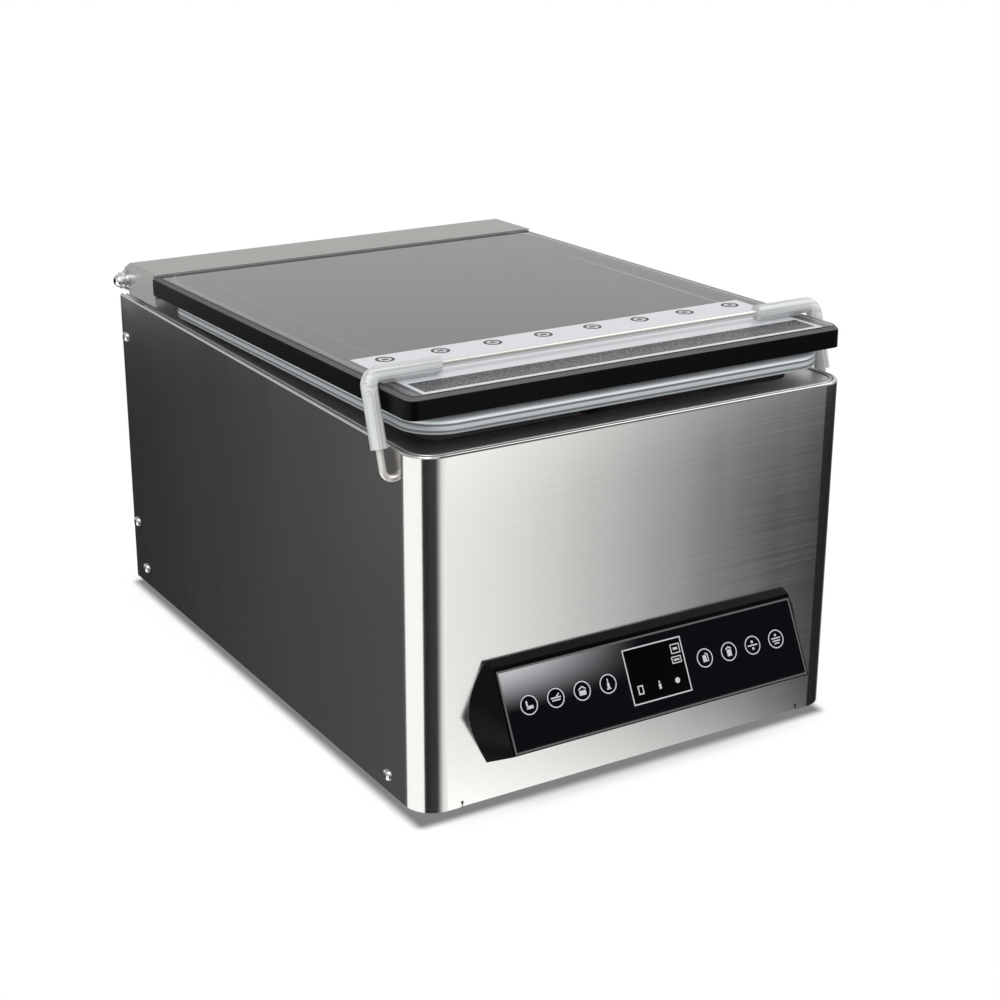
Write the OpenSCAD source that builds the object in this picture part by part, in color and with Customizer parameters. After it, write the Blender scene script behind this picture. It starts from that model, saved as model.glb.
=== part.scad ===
// Compact chamber vacuum sealer: a folded sheet cabinet with a drawn chamber under a thick hinged
// lid, a lifting seal bar, a hold-down bail, a sloping key panel and a vane pump inside.
// Millimetres. +X is the width, the front looks along -Y, +Z is up, and the feet stand on z = 0.

/* [Cabinet] */
// Distance from the chamber's side to the outside of the cabinet's side wall
side_room = 26; // [25:0.5:30]
// Distance from the chamber's back wall to the back panel
back_room = 97; // [92:1:110]
// Height of the folded cabinet without its feet
cab_h = 250; // [245:1:262]
// Thickness of the cabinet sheet
sheet_t = 1.2; // [0.8:0.1:1.6]
// Outer radius of the two upright front corners
corner_r = 21; // [16:1:26]
// Radius of the bead rolled along the top edge
bead_r = 1.6; // [1.4:0.1:2]
// Radius of the lip round the deck, inside the bead
lip_r = 1; // [0.8:0.1:1.2]
// Width of the flanges turned in at the bottom and the back
flange_w = 12; // [10:1:15]
// Height that the feet lift the cabinet
foot_h = 6; // [4:0.5:10]
// Radius of a rubber foot
foot_r = 14; // [10:0.5:18]
// Distance of a foot's centre from the cabinet's outside
foot_inset = 46; // [40:1:60]
// Radius of the heads of the cabinet screws
screw_head_r = 4; // [3:0.25:5]
// Height of the heads of the cabinet screws
screw_head_h = 2; // [1.5:0.1:2.6]

/* [Chamber] */
// Inside width of the chamber
chamber_w = 298; // [286:1:304]
// Inside depth of the chamber from front to back
chamber_d = 374.5; // [362:0.5:380]
// Depth of the chamber's floor below the deck
chamber_h = 110; // [100:1:116]
// Distance from the front panel to the chamber's front wall
chamber_front = 28.5; // [28:0.5:33]
// Radius of the chamber's upright corners
chamber_r = 18; // [15:1:22]
// Radius between the chamber's walls and its floor
chamber_floor_r = 12; // [8:1:14]
// Thickness of the deck and the chamber sheet
deck_t = 1.5; // [1:0.1:2]
// Height of the filler plate on the chamber's floor
filler_h = 18; // [12:1:24]

/* [Lid] */
// Thickness of the lid's clear panel
lid_t = 15.5; // [13:0.5:17]
// Height of the closed lid's underside above the deck
lid_gap = 13.5; // [13:0.5:16]
// Distance of the lid's front edge behind the front panel
lid_setback = 9.5; // [8:0.5:14]
// Radius of the lid's front corners
lid_corner_r = 8; // [5:1:12]
// Bevel along the lid's top edges
lid_bevel = 3; // [1:0.25:4]
// Angle at which the hinge springs hold the lid open
ajar = 1.14; // [0.8:0.02:1.4]
// Width of the gasket's foot where it meets the deck
gasket_w = 10; // [8:0.5:12]
// Distance from the chamber's edge to the gasket
gasket_out = 13; // [10:0.5:14]
// Radius of the gasket's corners along its middle
gasket_r = 24; // [18:1:30]
// Length of the hinge bar from front to back
bar_depth = 56; // [50:1:60]
// Thickness of the hinge bar's sheet
bar_t = 1.5; // [1:0.1:2]
// Radius of a hinge pin
pin_r = 5; // [4:0.25:6]
// Distance of the hinge axis from the back panel
hinge_in = 14; // [13.5:0.5:18]
// Height of the hinge axis above the cabinet
hinge_up = 14; // [13:0.5:16]

/* [Hold-down bail] */
// Radius of the bail's wire
wire_r = 2.4; // [2.2:0.1:3]
// Outer radius of the clear sleeves
sleeve_r = 5.5; // [5:0.25:6]
// Distance of the bail's pivot from the front panel
bail_back = 31.2; // [29:0.2:34]
// Distance of the bail's pivot below the cabinet's top
bail_down = 20.5; // [18:0.5:23]
// Length of a sleeve along the cross wire
sleeve_run = 52; // [40:1:60]
// Radius of the bail's upper bends
bail_bend_r = 7.5; // [7:0.5:12]

/* [Seal bar] */
// Length of the seal bar
seal_len = 270; // [256:1:276]
// Width of the seal bar
seal_w = 16; // [14:0.5:18]
// Height of the seal bar
seal_h = 22; // [18:0.5:26]
// Rise of the seal bar when it seals
seal_lift = 6; // [4:0.5:7]
// Radius of the two lifting posts
post_r = 5; // [4:0.25:6]

/* [Control panel] */
// Width of the sloping face
face_w = 248; // [240:1:256]
// Reach of the face's top edge beyond the front panel
reach_top = 7; // [6:0.5:9]
// Reach of the face's bottom edge beyond the front panel
reach_bottom = 34; // [31:0.5:37]
// Height of the face's bottom edge above the cabinet's bottom
face_low = 47; // [44:0.5:50]
// Upright height of the face
face_rise = 53; // [51:0.5:56]
// Bulge of the bezel's ends beside the face
end_bulge = 13.8; // [8:0.2:16]
// Wall of the moulded bezel
bezel_wall = 2.5; // [2:0.1:3]
// Width of the bare frame round the printed overlay
frame_edge = 3; // [2:0.25:4]
// Thickness of the overlay
overlay_t = 0.6; // [0.4:0.1:0.8]
// Radius of a key
key_r = 6.9; // [6:0.1:7.4]
// Distance between neighbouring keys
key_pitch = 21; // [19:0.25:21.5]
// Distance of the outermost key from the middle
key_out = 103.7; // [101:0.1:106]
// Travel of a key
key_travel = 0.5; // [0.3:0.05:0.6]
// Width of the display window
display_w = 49; // [45:0.5:52]
// Height of the display window
display_h = 38.6; // [34:0.2:42]

/* [Pump and electrics] */
// Radius of the motor's barrel
motor_r = 50; // [46:1:52]
// Length of the motor's barrel
motor_len = 120; // [105:1:130]
// Radius of the motor's shaft
shaft_r = 7; // [5:0.25:8]
// Radius of the cooling fan
fan_r = 44; // [38:1:46]
// Number of blades on the cooling fan
fan_blades = 7; // [5:1:9]
// Radius of the pump's head
pump_r = 46; // [40:1:48]
// Outer radius of the vacuum hoses
hose_r = 7; // [6:0.5:8]
// Width of the back panel's louvres
louvre_w = 70; // [50:1:80]
// Reach of the louvres behind the back panel
louvre_out = 5; // [4.6:0.1:6]
// Number of louvres in each column
louvre_rows = 8; // [5:1:9]
// Width of the transformer's core
core_w = 76; // [68:1:80]
// Depth of the transformer's core
core_d = 64; // [58:1:68]
// Height of the transformer's core
core_h = 62; // [56:1:66]
// Distance of the transformer's middle from the front panel
core_back = 88; // [84:1:96]
// Distance of the valve block's middle from the front panel
valve_back = 105; // [102:1:112]
// Distance between the valves
valve_pitch = 32; // [30:0.5:34]
// Length of the control board
card_len = 150; // [130:1:160]
// Height of the control board
card_h = 90; // [80:1:96]

/* [Hidden] */

$fn = 48;
eps = 0.01;             // overrun of a cut past the face it opens
gap = 0.3;              // air between pieces of different bodies
run_gap = 0.06;         // radial clearance of a shaft in its bore
seat_gap = 0.3;         // air between loose pieces that lie beside each other

cab_w = chamber_w + 2 * side_room;
cab_depth = chamber_front + chamber_d + back_room;
half_w = cab_w / 2;
front_y = -(cab_depth + reach_bottom + louvre_out) / 2 + reach_bottom;
rear_y = front_y + cab_depth;
bottom_z = foot_h;
top_z = foot_h + cab_h;
floor_z = bottom_z + sheet_t;            // underside of the base plate
inner_z = floor_z + sheet_t;             // top of the base plate

// Deck and chamber
deck_drop = 1;
deck_z = top_z - deck_drop;
bead_in = 0.3;           // step between the wall's face and the bead
deck_inset = bead_in + 2 * bead_r + seat_gap;
ledge_w = 14;
chamber_y0 = front_y + chamber_front;
chamber_y1 = chamber_y0 + chamber_d;
chamber_mid = (chamber_y0 + chamber_y1) / 2;
chamber_z = deck_z - chamber_h;          // inside floor of the chamber
chamber_flange = 10;
under_z = chamber_z - deck_t;            // underside of the chamber

// Lid in its closed place
hinge_y = rear_y - hinge_in;
hinge_z = top_z + hinge_up;
lid_z0 = deck_z + lid_gap;
lid_z1 = lid_z0 + lid_t;
lid_y0 = front_y + lid_setback;
lid_half = half_w - 0.5;
lid_waist = 3;                           // how much narrower the panel is between the bar's ends
bar_y1 = hinge_y - 9;                    // back edge of the bar's flat top
bar_y0 = bar_y1 - bar_depth;
plate_y0 = bar_y0 + 6;
panel_y1 = hinge_y - 14;
knuckle_r = 10;
gasket_half_w = chamber_w / 2 + gasket_out;
gasket_y0 = chamber_y0 - gasket_out;
gasket_y1 = chamber_y1 + gasket_out;
groove_h = 5;
groove_w = 5;
gasket_flare = 2.5;

// Hinge pins and brackets
bracket_t = 6;
bracket_x = half_w - deck_inset - 2 * lip_r - seat_gap - bracket_t;   // inner face of a bracket
spring_x = bracket_x - 34;
pin_end_x = spring_x - 6;

// Bail
bail_x = half_w + sleeve_r + 0.9;
bail_y = front_y + bail_back;
bail_z = top_z - bail_down;
bail_low_r = bail_x - half_w - 0.6;
bail_pin_in = 12;
function lid_rest(y, z) = [
  hinge_y + (y - hinge_y) * cos(ajar) + (z - hinge_z) * sin(ajar),
  hinge_z - (y - hinge_y) * sin(ajar) + (z - hinge_z) * cos(ajar)];
bail_pivot = [bail_y, bail_z];
edge_reach = max(norm(lid_rest(lid_y0 + lid_bevel, lid_z1) - bail_pivot),
                 norm(lid_rest(lid_y0, lid_z1 - lid_bevel) - bail_pivot));
bail_reach = edge_reach + sleeve_r + gap;
bail_rise = lid_rest(bail_y, lid_z1)[1] + gap + sleeve_r - bail_z;
bail_lean = acos(bail_rise / bail_reach);
sleeve_low = 19.5;

// Seal bar
seal_y = chamber_y0 + 10 + seal_w / 2;
pad_z0 = deck_z - 1;                     // underside of the closed lid's backing pad
seal_z1 = pad_z0 - gap - seal_lift;      // top of the heating strip at rest
strip_t = 0.4;
post_x = seal_len * 0.36;
cylinder_r = 16;
cylinder_h = 34;
post_low = under_z - 22;

// Sloping face of the control panel
lean = atan((reach_bottom - reach_top) / face_rise);
face_h = face_rise / cos(lean);
face_y = front_y - reach_bottom;
face_z = bottom_z + face_low;
foot_drop = 19;                          // how far the bezel's underside falls back to the panel
crown = 2.5;                             // rise of the bezel's top back to the panel
key_v = face_h / 2 + 0.6;
window_v = face_h / 2 + 0.6;
key_x = [for (i = [0:3]) -key_out + i * key_pitch, for (i = [3:-1:0]) key_out - i * key_pitch];
key_flange = 1.2;
key_flange_t = 1;
board_w = 2;                             // thickness of the keypad board
board_d = bezel_wall + key_flange_t + key_travel + 1.2;

// Pump line, along X under the chamber
pump_y = chamber_mid + 30;
pump_z = inner_z + motor_r + 12;
motor_x0 = -105;
motor_x1 = motor_x0 + motor_len;
bell_t = 8;
pump_len = 50;
pump_x0 = motor_x1 + 6;
pump_x1 = pump_x0 + pump_len;
fan_t = 16;
cowl_len = 30;

// Back panel fittings
louvre_gap = 18;
inlet_x = 110;
inlet_z = bottom_z + 60;
rocker_x = 65;
side_screws = [[46, 11.7], [cab_depth - 22, 13.6], [cab_depth - 7, 51.5], [cab_depth - 7, 214.4]];

steel = "silver";
dark = "#202020";

// ---------- shared shapes ----------

// Rounded rectangle from x -w/2 to w/2 and y0 to y1
module pad2d(w, y0, y1, r) {
  translate([-w / 2 + r, y0]) square([w - 2 * r, y1 - y0]);
  translate([-w / 2, y0 + r]) square([w, y1 - y0 - 2 * r]);
  for (sx = [-1, 1], y = [y0 + r, y1 - r]) translate([sx * (w / 2 - r), y]) circle(r);
}

// Plan of the cabinet, drawn in by a distance: round at the front and square at the back
module plan(inset) {
  r = corner_r - inset;
  translate([-half_w + corner_r, front_y + inset]) square([cab_w - 2 * corner_r, corner_r]);
  translate([-half_w + inset, front_y + corner_r])
    square([cab_w - 2 * inset, cab_depth - corner_r - inset]);
  for (sx = [-1, 1]) translate([sx * (half_w - corner_r), front_y + corner_r]) circle(r);
}

// Tub with round upright corners and a round edge to its floor, floor at z = 0
module tub(w, y0, y1, h, r, rf) {
  translate([0, 0, rf]) linear_extrude(h - rf) pad2d(w, y0, y1, r);
  linear_extrude(h) pad2d(w - 2 * rf, y0 + rf, y1 - rf, r - rf);
  for (sx = [-1, 1]) translate([sx * (w / 2 - rf), y0 + r, rf])
    rotate([-90, 0, 0]) cylinder(r = rf, h = y1 - y0 - 2 * r);
  for (y = [y0 + rf, y1 - rf]) translate([-w / 2 + r, y, rf])
    rotate([0, 90, 0]) cylinder(r = rf, h = w - 2 * r);
  for (sx = [-1, 1], y = [y0 + r, y1 - r]) translate([sx * (w / 2 - r), y, rf])
    rotate_extrude() {
      translate([r - rf, 0]) intersection() { circle(rf); translate([0, -rf]) square(2 * rf); }
      translate([0, -rf]) square([r - rf, rf]);
    }
}

// Cylinder along X from x0 to x1
module rod_x(r, x0, x1) { translate([x0, 0, 0]) rotate([0, 90, 0]) cylinder(r = r, h = x1 - x0); }

// Places children at the axis of the pump
module on_pump() { translate([0, pump_y, pump_z]) children(); }

// Carries the closed lid's pieces to their rest on the unpressed gasket
module lid_pose() {
  translate([0, hinge_y, hinge_z]) rotate([-ajar, 0, 0])
    translate([0, -hinge_y, -hinge_z]) children();
}

// Frame of the sloping face: x across, y up the face, z out of it, zero at its bottom edge
module on_face() { translate([0, face_y, face_z]) rotate([90 - lean, 0, 0]) children(); }

// Frame of the bail's plane: x across, z up the legs, zero at the pivot
module on_bail() { translate([0, bail_y, bail_z]) rotate([-bail_lean, 0, 0]) children(); }

// Swept round tube along a list of points
function unit(v) = v / norm(v);
function path_dir(p, i, u, v) =
  i == 0 && u != undef ? unit(u) : i == len(p) - 1 && v != undef ? unit(v)
  : unit(p[min(i + 1, len(p) - 1)] - p[max(i - 1, 0)]);
module tube_along(p, r, sides = 10, u = undef, v = undef) {
  rings = len(p);
  side = unit(cross(path_dir(p, 0, u, v), [0.31, 0.17, 0.94]));
  points = [for (i = [0:rings - 1])
    let (t = path_dir(p, i, u, v), a = unit(side - (side * t) * t), b = cross(t, a))
    for (k = [0:sides - 1]) p[i] + r * (cos(360 * k / sides) * a + sin(360 * k / sides) * b)];
  faces = [
    [for (k = [0:sides - 1]) k],
    [for (k = [sides - 1:-1:0]) (rings - 1) * sides + k],
    for (i = [0:rings - 2], k = [0:sides - 1])
      [i * sides + k, (i + 1) * sides + k, (i + 1) * sides + (k + 1) % sides],
    for (i = [0:rings - 2], k = [0:sides - 1])
      [i * sides + k, (i + 1) * sides + (k + 1) % sides, i * sides + (k + 1) % sides]];
  polyhedron(points, faces, convexity = 6);
}

// Points of a cubic curve from a to b that leaves along u and arrives along v
function bend(a, u, b, v, n = 12) = [for (i = [0:n]) let (t = i / n, s = 1 - t)
  s * s * s * a + 3 * s * s * t * (a + u) + 3 * s * t * t * (b - v) + t * t * t * b];

// ---------- cabinet ----------

// Round bead along the sides and the front, with its middle a distance inside the walls' faces
module edge_bead(r, inset, z, run) {
  for (sx = [-1, 1]) {
    translate([sx * (half_w - inset), front_y + corner_r, z])
      rotate([-90, 0, 0]) cylinder(r = r, h = run);
    translate([sx * (half_w - corner_r), front_y + corner_r, z])
      rotate([0, 0, sx > 0 ? -90 : 180])
        rotate_extrude(angle = 90) translate([corner_r - inset, 0]) circle(r);
  }
  translate([0, front_y + inset, z]) rod_x(r, -half_w + corner_r, half_w - corner_r);
}

module cabinet_wrap() {
  notch_x = half_w - corner_r - 11;
  color(steel) difference() {
    union() {
      translate([0, 0, bottom_z]) linear_extrude(cab_h - bead_r) difference() {
        plan(0);
        plan(sheet_t);
        translate([-half_w + sheet_t, rear_y - sheet_t - eps])
          square([cab_w - 2 * sheet_t, sheet_t + 2 * eps]);
      }
      edge_bead(bead_r, bead_in + bead_r, top_z - bead_r, cab_depth - corner_r);
      // turned-in bottom flange
      translate([0, 0, bottom_z]) linear_extrude(sheet_t) difference() {
        plan(sheet_t / 2);
        plan(flange_w);
        translate([-half_w + flange_w, rear_y - flange_w - eps])
          square([cab_w - 2 * flange_w, flange_w + 2 * eps]);
      }
      // ledge that carries the deck
      translate([0, 0, deck_z - deck_t - sheet_t]) linear_extrude(sheet_t) difference() {
        plan(sheet_t / 2);
        plan(ledge_w);
      }
      // turned-in back flanges behind which the back panel is screwed
      for (sx = [-1, 1])
        translate([sx > 0 ? half_w - flange_w : -half_w + sheet_t / 2,
                   rear_y - 2 * sheet_t, bottom_z])
          cube([flange_w - sheet_t / 2, sheet_t, cab_h - 2 * bead_r - sheet_t]);
    }
    // pivot holes of the bail
    translate([0, bail_y, bail_z]) rod_x(wire_r + run_gap, -half_w - 1, half_w + 1);
    // bend reliefs beside the front corners, with the front's lower edge drawn up between them
    for (sx = [-1, 1]) translate([sx * notch_x - 1, front_y - 1, bottom_z - 1])
      cube([2, 1 + sheet_t + eps, 5.5]);
    translate([-notch_x, front_y - 1, bottom_z - 1]) cube([2 * notch_x, 1 + sheet_t / 2, 2.5]);
    // slot for the key panel's cable
    translate([-30, front_y - 1, face_z + 10]) cube([60, sheet_t + 2, 14]);
  }
}

module deck_plate() {
  depth = cab_depth - 3;
  color("dimgray") {
    translate([0, 0, deck_z - deck_t]) linear_extrude(deck_t) difference() {
      intersection() {
        plan(deck_inset);
        translate([-half_w, front_y]) square([cab_w, depth]);
      }
      pad2d(chamber_w, chamber_y0, chamber_y1, chamber_r);
      translate([switch_side_x, switch_y]) circle(barrel_r);
    }
    edge_bead(lip_r, deck_inset + lip_r, deck_z, depth - corner_r);
  }
}

module base_plate() {
  slots = 9;
  color(steel) {
    difference() {
      translate([0, 0, floor_z]) linear_extrude(sheet_t) difference() {
        intersection() {
          plan(sheet_t);
          translate([-half_w, front_y]) square([cab_w, cab_depth - 2 * sheet_t]);
        }
        // vents under the motor
        for (i = [0:slots - 1])
          translate([-80 + i * 20, pump_y - 35]) square([6, 70]);
      }
    }
    // upturned side edges, where the side screws hold
    for (sx = [-1, 1]) translate([sx > 0 ? half_w - 2 * sheet_t : -half_w + sheet_t,
                                  front_y + corner_r, inner_z])
      cube([sheet_t, cab_depth - corner_r - 2 * sheet_t, 16]);
  }
}

module louvre(x, z) {
  translate([x, rear_y, z]) difference() {
    intersection() {
      rod_x(louvre_out, -louvre_w / 2, louvre_w / 2);
      translate([-louvre_w, -sheet_t, -louvre_out / 2]) cube([2 * louvre_w, 3 * louvre_out, 99]);
    }
    rod_x(louvre_out - sheet_t, -louvre_w / 2 + sheet_t, louvre_w / 2 - sheet_t);
    translate([-louvre_w, -2 * louvre_out, -louvre_out]) cube([2 * louvre_w, 2 * louvre_out, 99]);
  }
}

louvre_x = [-half_w + 66, -half_w + 66 + louvre_w + 14];
louvre_z0 = bottom_z + 45;

module back_panel() {
  panel_w = cab_w - 2 * sheet_t - 2 * seat_gap;
  panel_h = cab_h - 2 * bead_r - 2 * sheet_t;
  color(steel) {
    difference() {
      translate([-panel_w / 2, rear_y - sheet_t, floor_z + seat_gap])
        cube([panel_w, sheet_t, panel_h]);
      for (x = louvre_x, i = [0:louvre_rows - 1])
        translate([x - louvre_w / 2 + sheet_t, rear_y - 3, louvre_z0 + i * louvre_gap - 1])
          cube([louvre_w - 2 * sheet_t, 6, louvre_out]);
      inlet_cut(0);
      switch_cut(0);
    }
    for (x = louvre_x, i = [0:louvre_rows - 1]) louvre(x, louvre_z0 + i * louvre_gap);
  }
}

module rubber_feet() {
  color(dark) for (sx = [-1, 1], y = [front_y + foot_inset, rear_y - foot_inset])
    translate([sx * (half_w - foot_inset), y, 0]) {
      cylinder(r1 = foot_r - 1.5, r2 = foot_r, h = foot_h - 1);
      translate([0, 0, foot_h - 1]) cylinder(r = foot_r, h = 1 + sheet_t);
    }
}

module screw_head() {
  difference() {
    union() {
      cylinder(r = screw_head_r, h = screw_head_h * 0.5);
      translate([0, 0, screw_head_h * 0.5])
        cylinder(r1 = screw_head_r, r2 = screw_head_r * 0.62, h = screw_head_h * 0.5);
    }
    for (a = [0, 90]) rotate([0, 0, a])
      translate([-screw_head_r * 0.55, -0.5, screw_head_h - 1]) cube([screw_head_r * 1.1, 1, 2]);
  }
}

module cabinet_screws() {
  color(steel) {
    for (sx = [-1, 1], s = side_screws)
      translate([sx * half_w, front_y + s[0], bottom_z + s[1]]) rotate([0, sx * 90, 0]) screw_head();
    for (sx = [-1, 1], z = [bottom_z + 12, bottom_z + cab_h / 2, top_z - 18])
      translate([sx * (half_w - flange_w / 2), rear_y, z]) rotate([-90, 0, 0]) screw_head();
  }
}

// ---------- chamber ----------

module vacuum_chamber() {
  t = deck_t;
  color(steel) difference() {
    union() {
      translate([0, 0, under_z])
        tub(chamber_w + 2 * t, chamber_y0 - t, chamber_y1 + t, chamber_h, chamber_r + t,
            chamber_floor_r + t);
      translate([0, 0, deck_z - 2 * t]) linear_extrude(t)
        pad2d(chamber_w + 2 * chamber_flange, chamber_y0 - chamber_flange,
              chamber_y1 + chamber_flange, chamber_r + chamber_flange);
    }
    translate([0, 0, chamber_z])
      tub(chamber_w, chamber_y0, chamber_y1, chamber_h + 1, chamber_r, chamber_floor_r);
    for (sx = [-1, 1]) translate([sx * post_x, seal_y, under_z - 1])
      cylinder(r = post_r + gap, h = t + 2);
    translate([port_x, port_y, under_z - 1]) cylinder(r = port_neck_r, h = t + 2);
  }
}

port_x = chamber_w / 2 - 34;
port_y = chamber_y1 - 34;
port_r = 15;
port_h = 9;
port_neck_r = 9;
port_slots = 10;

module vacuum_port() {
  color(steel) difference() {
    union() {
      translate([port_x, port_y, chamber_z]) cylinder(r = port_r, h = port_h);
      translate([port_x, port_y, under_z]) cylinder(r = port_neck_r, h = deck_t);
      translate([port_x, port_y, under_z - 12]) cylinder(r = port_neck_r + 2, h = 12);
    }
    translate([port_x, port_y, under_z - 13]) cylinder(r = 5, h = 13 + deck_t + port_h - 2);
    translate([port_x, port_y, chamber_z + 2]) cylinder(r = port_r - 3, h = port_h - 4);
    for (i = [0:port_slots - 1]) translate([port_x, port_y, chamber_z + 2])
      rotate([0, 0, i * 360 / port_slots]) translate([port_r - 5, -1.5, 0])
        cube([6, 3, port_h - 4]);
  }
}

module filler_plate() {
  y0 = seal_y + seal_w / 2 + 12;
  y1 = port_y - port_r - 8;
  color("whitesmoke") translate([0, 0, chamber_z]) linear_extrude(filler_h)
    pad2d(chamber_w - 2 * chamber_floor_r - 4, y0, y1, 12);
}

module lift_cylinders() {
  color("gray") for (sx = [-1, 1]) translate([sx * post_x, seal_y, under_z - cylinder_h])
    difference() {
      union() {
        cylinder(r = cylinder_r, h = cylinder_h);
        translate([0, 0, cylinder_h - 3]) cylinder(r = cylinder_r + 5, h = 3);
        translate([0, 0, 5]) rotate([-90, 0, 0]) cylinder(r = 4, h = cylinder_r + 9);
      }
      translate([0, 0, 4]) cylinder(r = post_r + run_gap, h = cylinder_h);
    }
}

module lift_posts() {
  color(steel) for (sx = [-1, 1]) translate([sx * post_x, seal_y, post_low])
    cylinder(r = post_r, h = seal_z1 - strip_t - seal_h + 8 - post_low);
}

module seal_bar() {
  z0 = seal_z1 - strip_t - seal_h;
  color("darkgray") difference() {
    translate([0, 0, z0]) union() {
      linear_extrude(seal_h - 4) pad2d(seal_len, seal_y - seal_w / 2, seal_y + seal_w / 2, 4);
      linear_extrude(seal_h) pad2d(seal_len, seal_y - seal_w / 4, seal_y + seal_w / 4, 2);
    }
    for (sx = [-1, 1]) translate([sx * post_x, seal_y, z0 - 1])
      cylinder(r = post_r + 0.05, h = 9);
  }
}

module heating_strip() {
  color("tan") translate([-seal_len / 2 + 4, seal_y - seal_w / 4 + 0.5, seal_z1 - strip_t])
    cube([seal_len - 8, seal_w / 2 - 1, strip_t]);
}

// ---------- lid ----------

module lid_outline(inset) {
  r = lid_corner_r - inset;
  translate([-lid_half + lid_corner_r, lid_y0 + inset])
    square([2 * (lid_half - lid_corner_r), lid_corner_r]);
  translate([-lid_half + inset, lid_y0 + lid_corner_r])
    square([2 * (lid_half - inset), plate_y0 - seat_gap - lid_y0 - lid_corner_r]);
  for (sx = [-1, 1]) translate([sx * (lid_half - lid_corner_r), lid_y0 + lid_corner_r])
    circle(r);
  w = lid_half - lid_waist;
  translate([-w, plate_y0 - 1]) square([2 * w, panel_y1 - plate_y0 + 1]);
}

module gasket_ring(w) {
  difference() {
    pad2d(2 * gasket_half_w + w, gasket_y0 - w / 2, gasket_y1 + w / 2, gasket_r + w / 2);
    pad2d(2 * gasket_half_w - w, gasket_y0 + w / 2, gasket_y1 - w / 2, gasket_r - w / 2);
  }
}

module lid_panel() {
  steps = 4;
  color([0.2, 0.2, 0.22, 0.8]) lid_pose() difference() {
    union() {
      translate([0, 0, lid_z0]) linear_extrude(lid_t - lid_bevel) lid_outline(0);
      // bevelled top edge as a stack of drawn-in layers
      for (i = [0:steps - 1]) translate([0, 0, lid_z1 - lid_bevel + i * lid_bevel / steps])
        linear_extrude(lid_bevel / steps) lid_outline(lid_bevel * (i + 1) / steps);
    }
    translate([0, 0, lid_z0 - 1]) linear_extrude(groove_h + 1) gasket_ring(groove_w);
  }
}

module lid_gasket() {
  z0 = deck_z + gap;
  lip = lid_z0 - z0;
  color([0.75, 0.8, 0.85]) lid_pose() {
    translate([0, 0, lid_z0]) linear_extrude(groove_h) gasket_ring(groove_w);
    translate([0, 0, z0 + lip * 0.45]) linear_extrude(lip * 0.55) gasket_ring(gasket_w - gasket_flare);
    translate([0, 0, z0]) linear_extrude(lip * 0.45) gasket_ring(gasket_w);
  }
}

module hinge_bar() {
  z = lid_z1;
  x1 = lid_half - lid_waist + seat_gap;
  tail = [hinge_y + 5, hinge_z + knuckle_r - 1];
  color(steel) lid_pose() difference() {
    union() {
      // folded top: flat plate and a short apron that slopes down at the back
      translate([-x1 - bar_t, 0, 0]) rotate([90, 0, 90]) linear_extrude(2 * (x1 + bar_t))
        polygon([[bar_y0, z], [bar_y0, z + bar_t], [bar_y1, z + bar_t], tail,
                 tail - [bar_t, 0], [bar_y1 - 0.6, z]]);
      // end plates with a round knuckle about the hinge axis
      for (sx = [-1, 1]) translate([sx > 0 ? x1 : -x1 - bar_t, 0, 0]) rotate([90, 0, 90])
        linear_extrude(bar_t) {
          polygon([[plate_y0, lid_z0 - knuckle_r], [plate_y0, z + bar_t / 2],
                   [bar_y1, z + bar_t / 2], tail - [0.2, 0], [hinge_y, hinge_z - knuckle_r + 2],
                   [hinge_y - 8, lid_z0 - knuckle_r]]);
          translate([hinge_y, hinge_z]) circle(knuckle_r - 1);
        }
    }
    for (sx = [-1, 1]) translate([0, hinge_y, hinge_z]) rod_x(pin_r + run_gap, -half_w, half_w);
  }
}

module hinge_bolts() {
  head_x = lid_half - lid_waist + seat_gap + bar_t;
  color("gainsboro") lid_pose() for (sx = [-1, 1]) translate([0, hinge_y, hinge_z])
    mirror([sx < 0 ? 1 : 0, 0, 0]) {
      rod_x(pin_r, pin_end_x, head_x + 1);
      rod_x(8, head_x, head_x + 2);
      difference() {
        union() {
          rod_x(6.6, head_x + 2, head_x + 6);
          translate([head_x + 6, 0, 0]) intersection() {
            sphere(r = 5.6);
            translate([0, -9, -9]) cube(18);
          }
        }
        translate([head_x + 5, 0, 0]) rotate([0, 90, 0]) cylinder(r = 2.9, h = 8, $fn = 6);
      }
    }
}

module backing_bar() {
  color("silver") lid_pose()
    translate([-seal_len / 2, seal_y - seal_w / 2, pad_z0 + 4])
      cube([seal_len, seal_w, lid_z0 - pad_z0 - 4]);
}

module backing_pad() {
  color("firebrick") lid_pose()
    translate([-seal_len / 2 + 2, seal_y - seal_w / 2 + 3, pad_z0])
      cube([seal_len - 4, seal_w - 6, 4]);
}

module hinge_brackets() {
  color("gray") for (sx = [-1, 1]) mirror([sx < 0 ? 1 : 0, 0, 0]) difference() {
    union() {
      translate([bracket_x, 0, 0]) rotate([90, 0, 90]) linear_extrude(bracket_t) {
        translate([hinge_y, hinge_z]) circle(knuckle_r - 1.4);
        translate([hinge_y - knuckle_r + 1, deck_z])
          square([2 * knuckle_r - 2, hinge_z - deck_z - 6]);
        translate([hinge_y - knuckle_r + 1.4, deck_z])
          square([2 * knuckle_r - 2.8, hinge_z - deck_z]);
      }
      translate([bracket_x - 22, hinge_y - knuckle_r + 1, deck_z])
        cube([22 + eps, 2 * knuckle_r - 2, 3]);
    }
    translate([0, hinge_y, hinge_z]) rod_x(pin_r + run_gap, bracket_x - 1, bracket_x + bracket_t + 1);
  }
}

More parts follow.
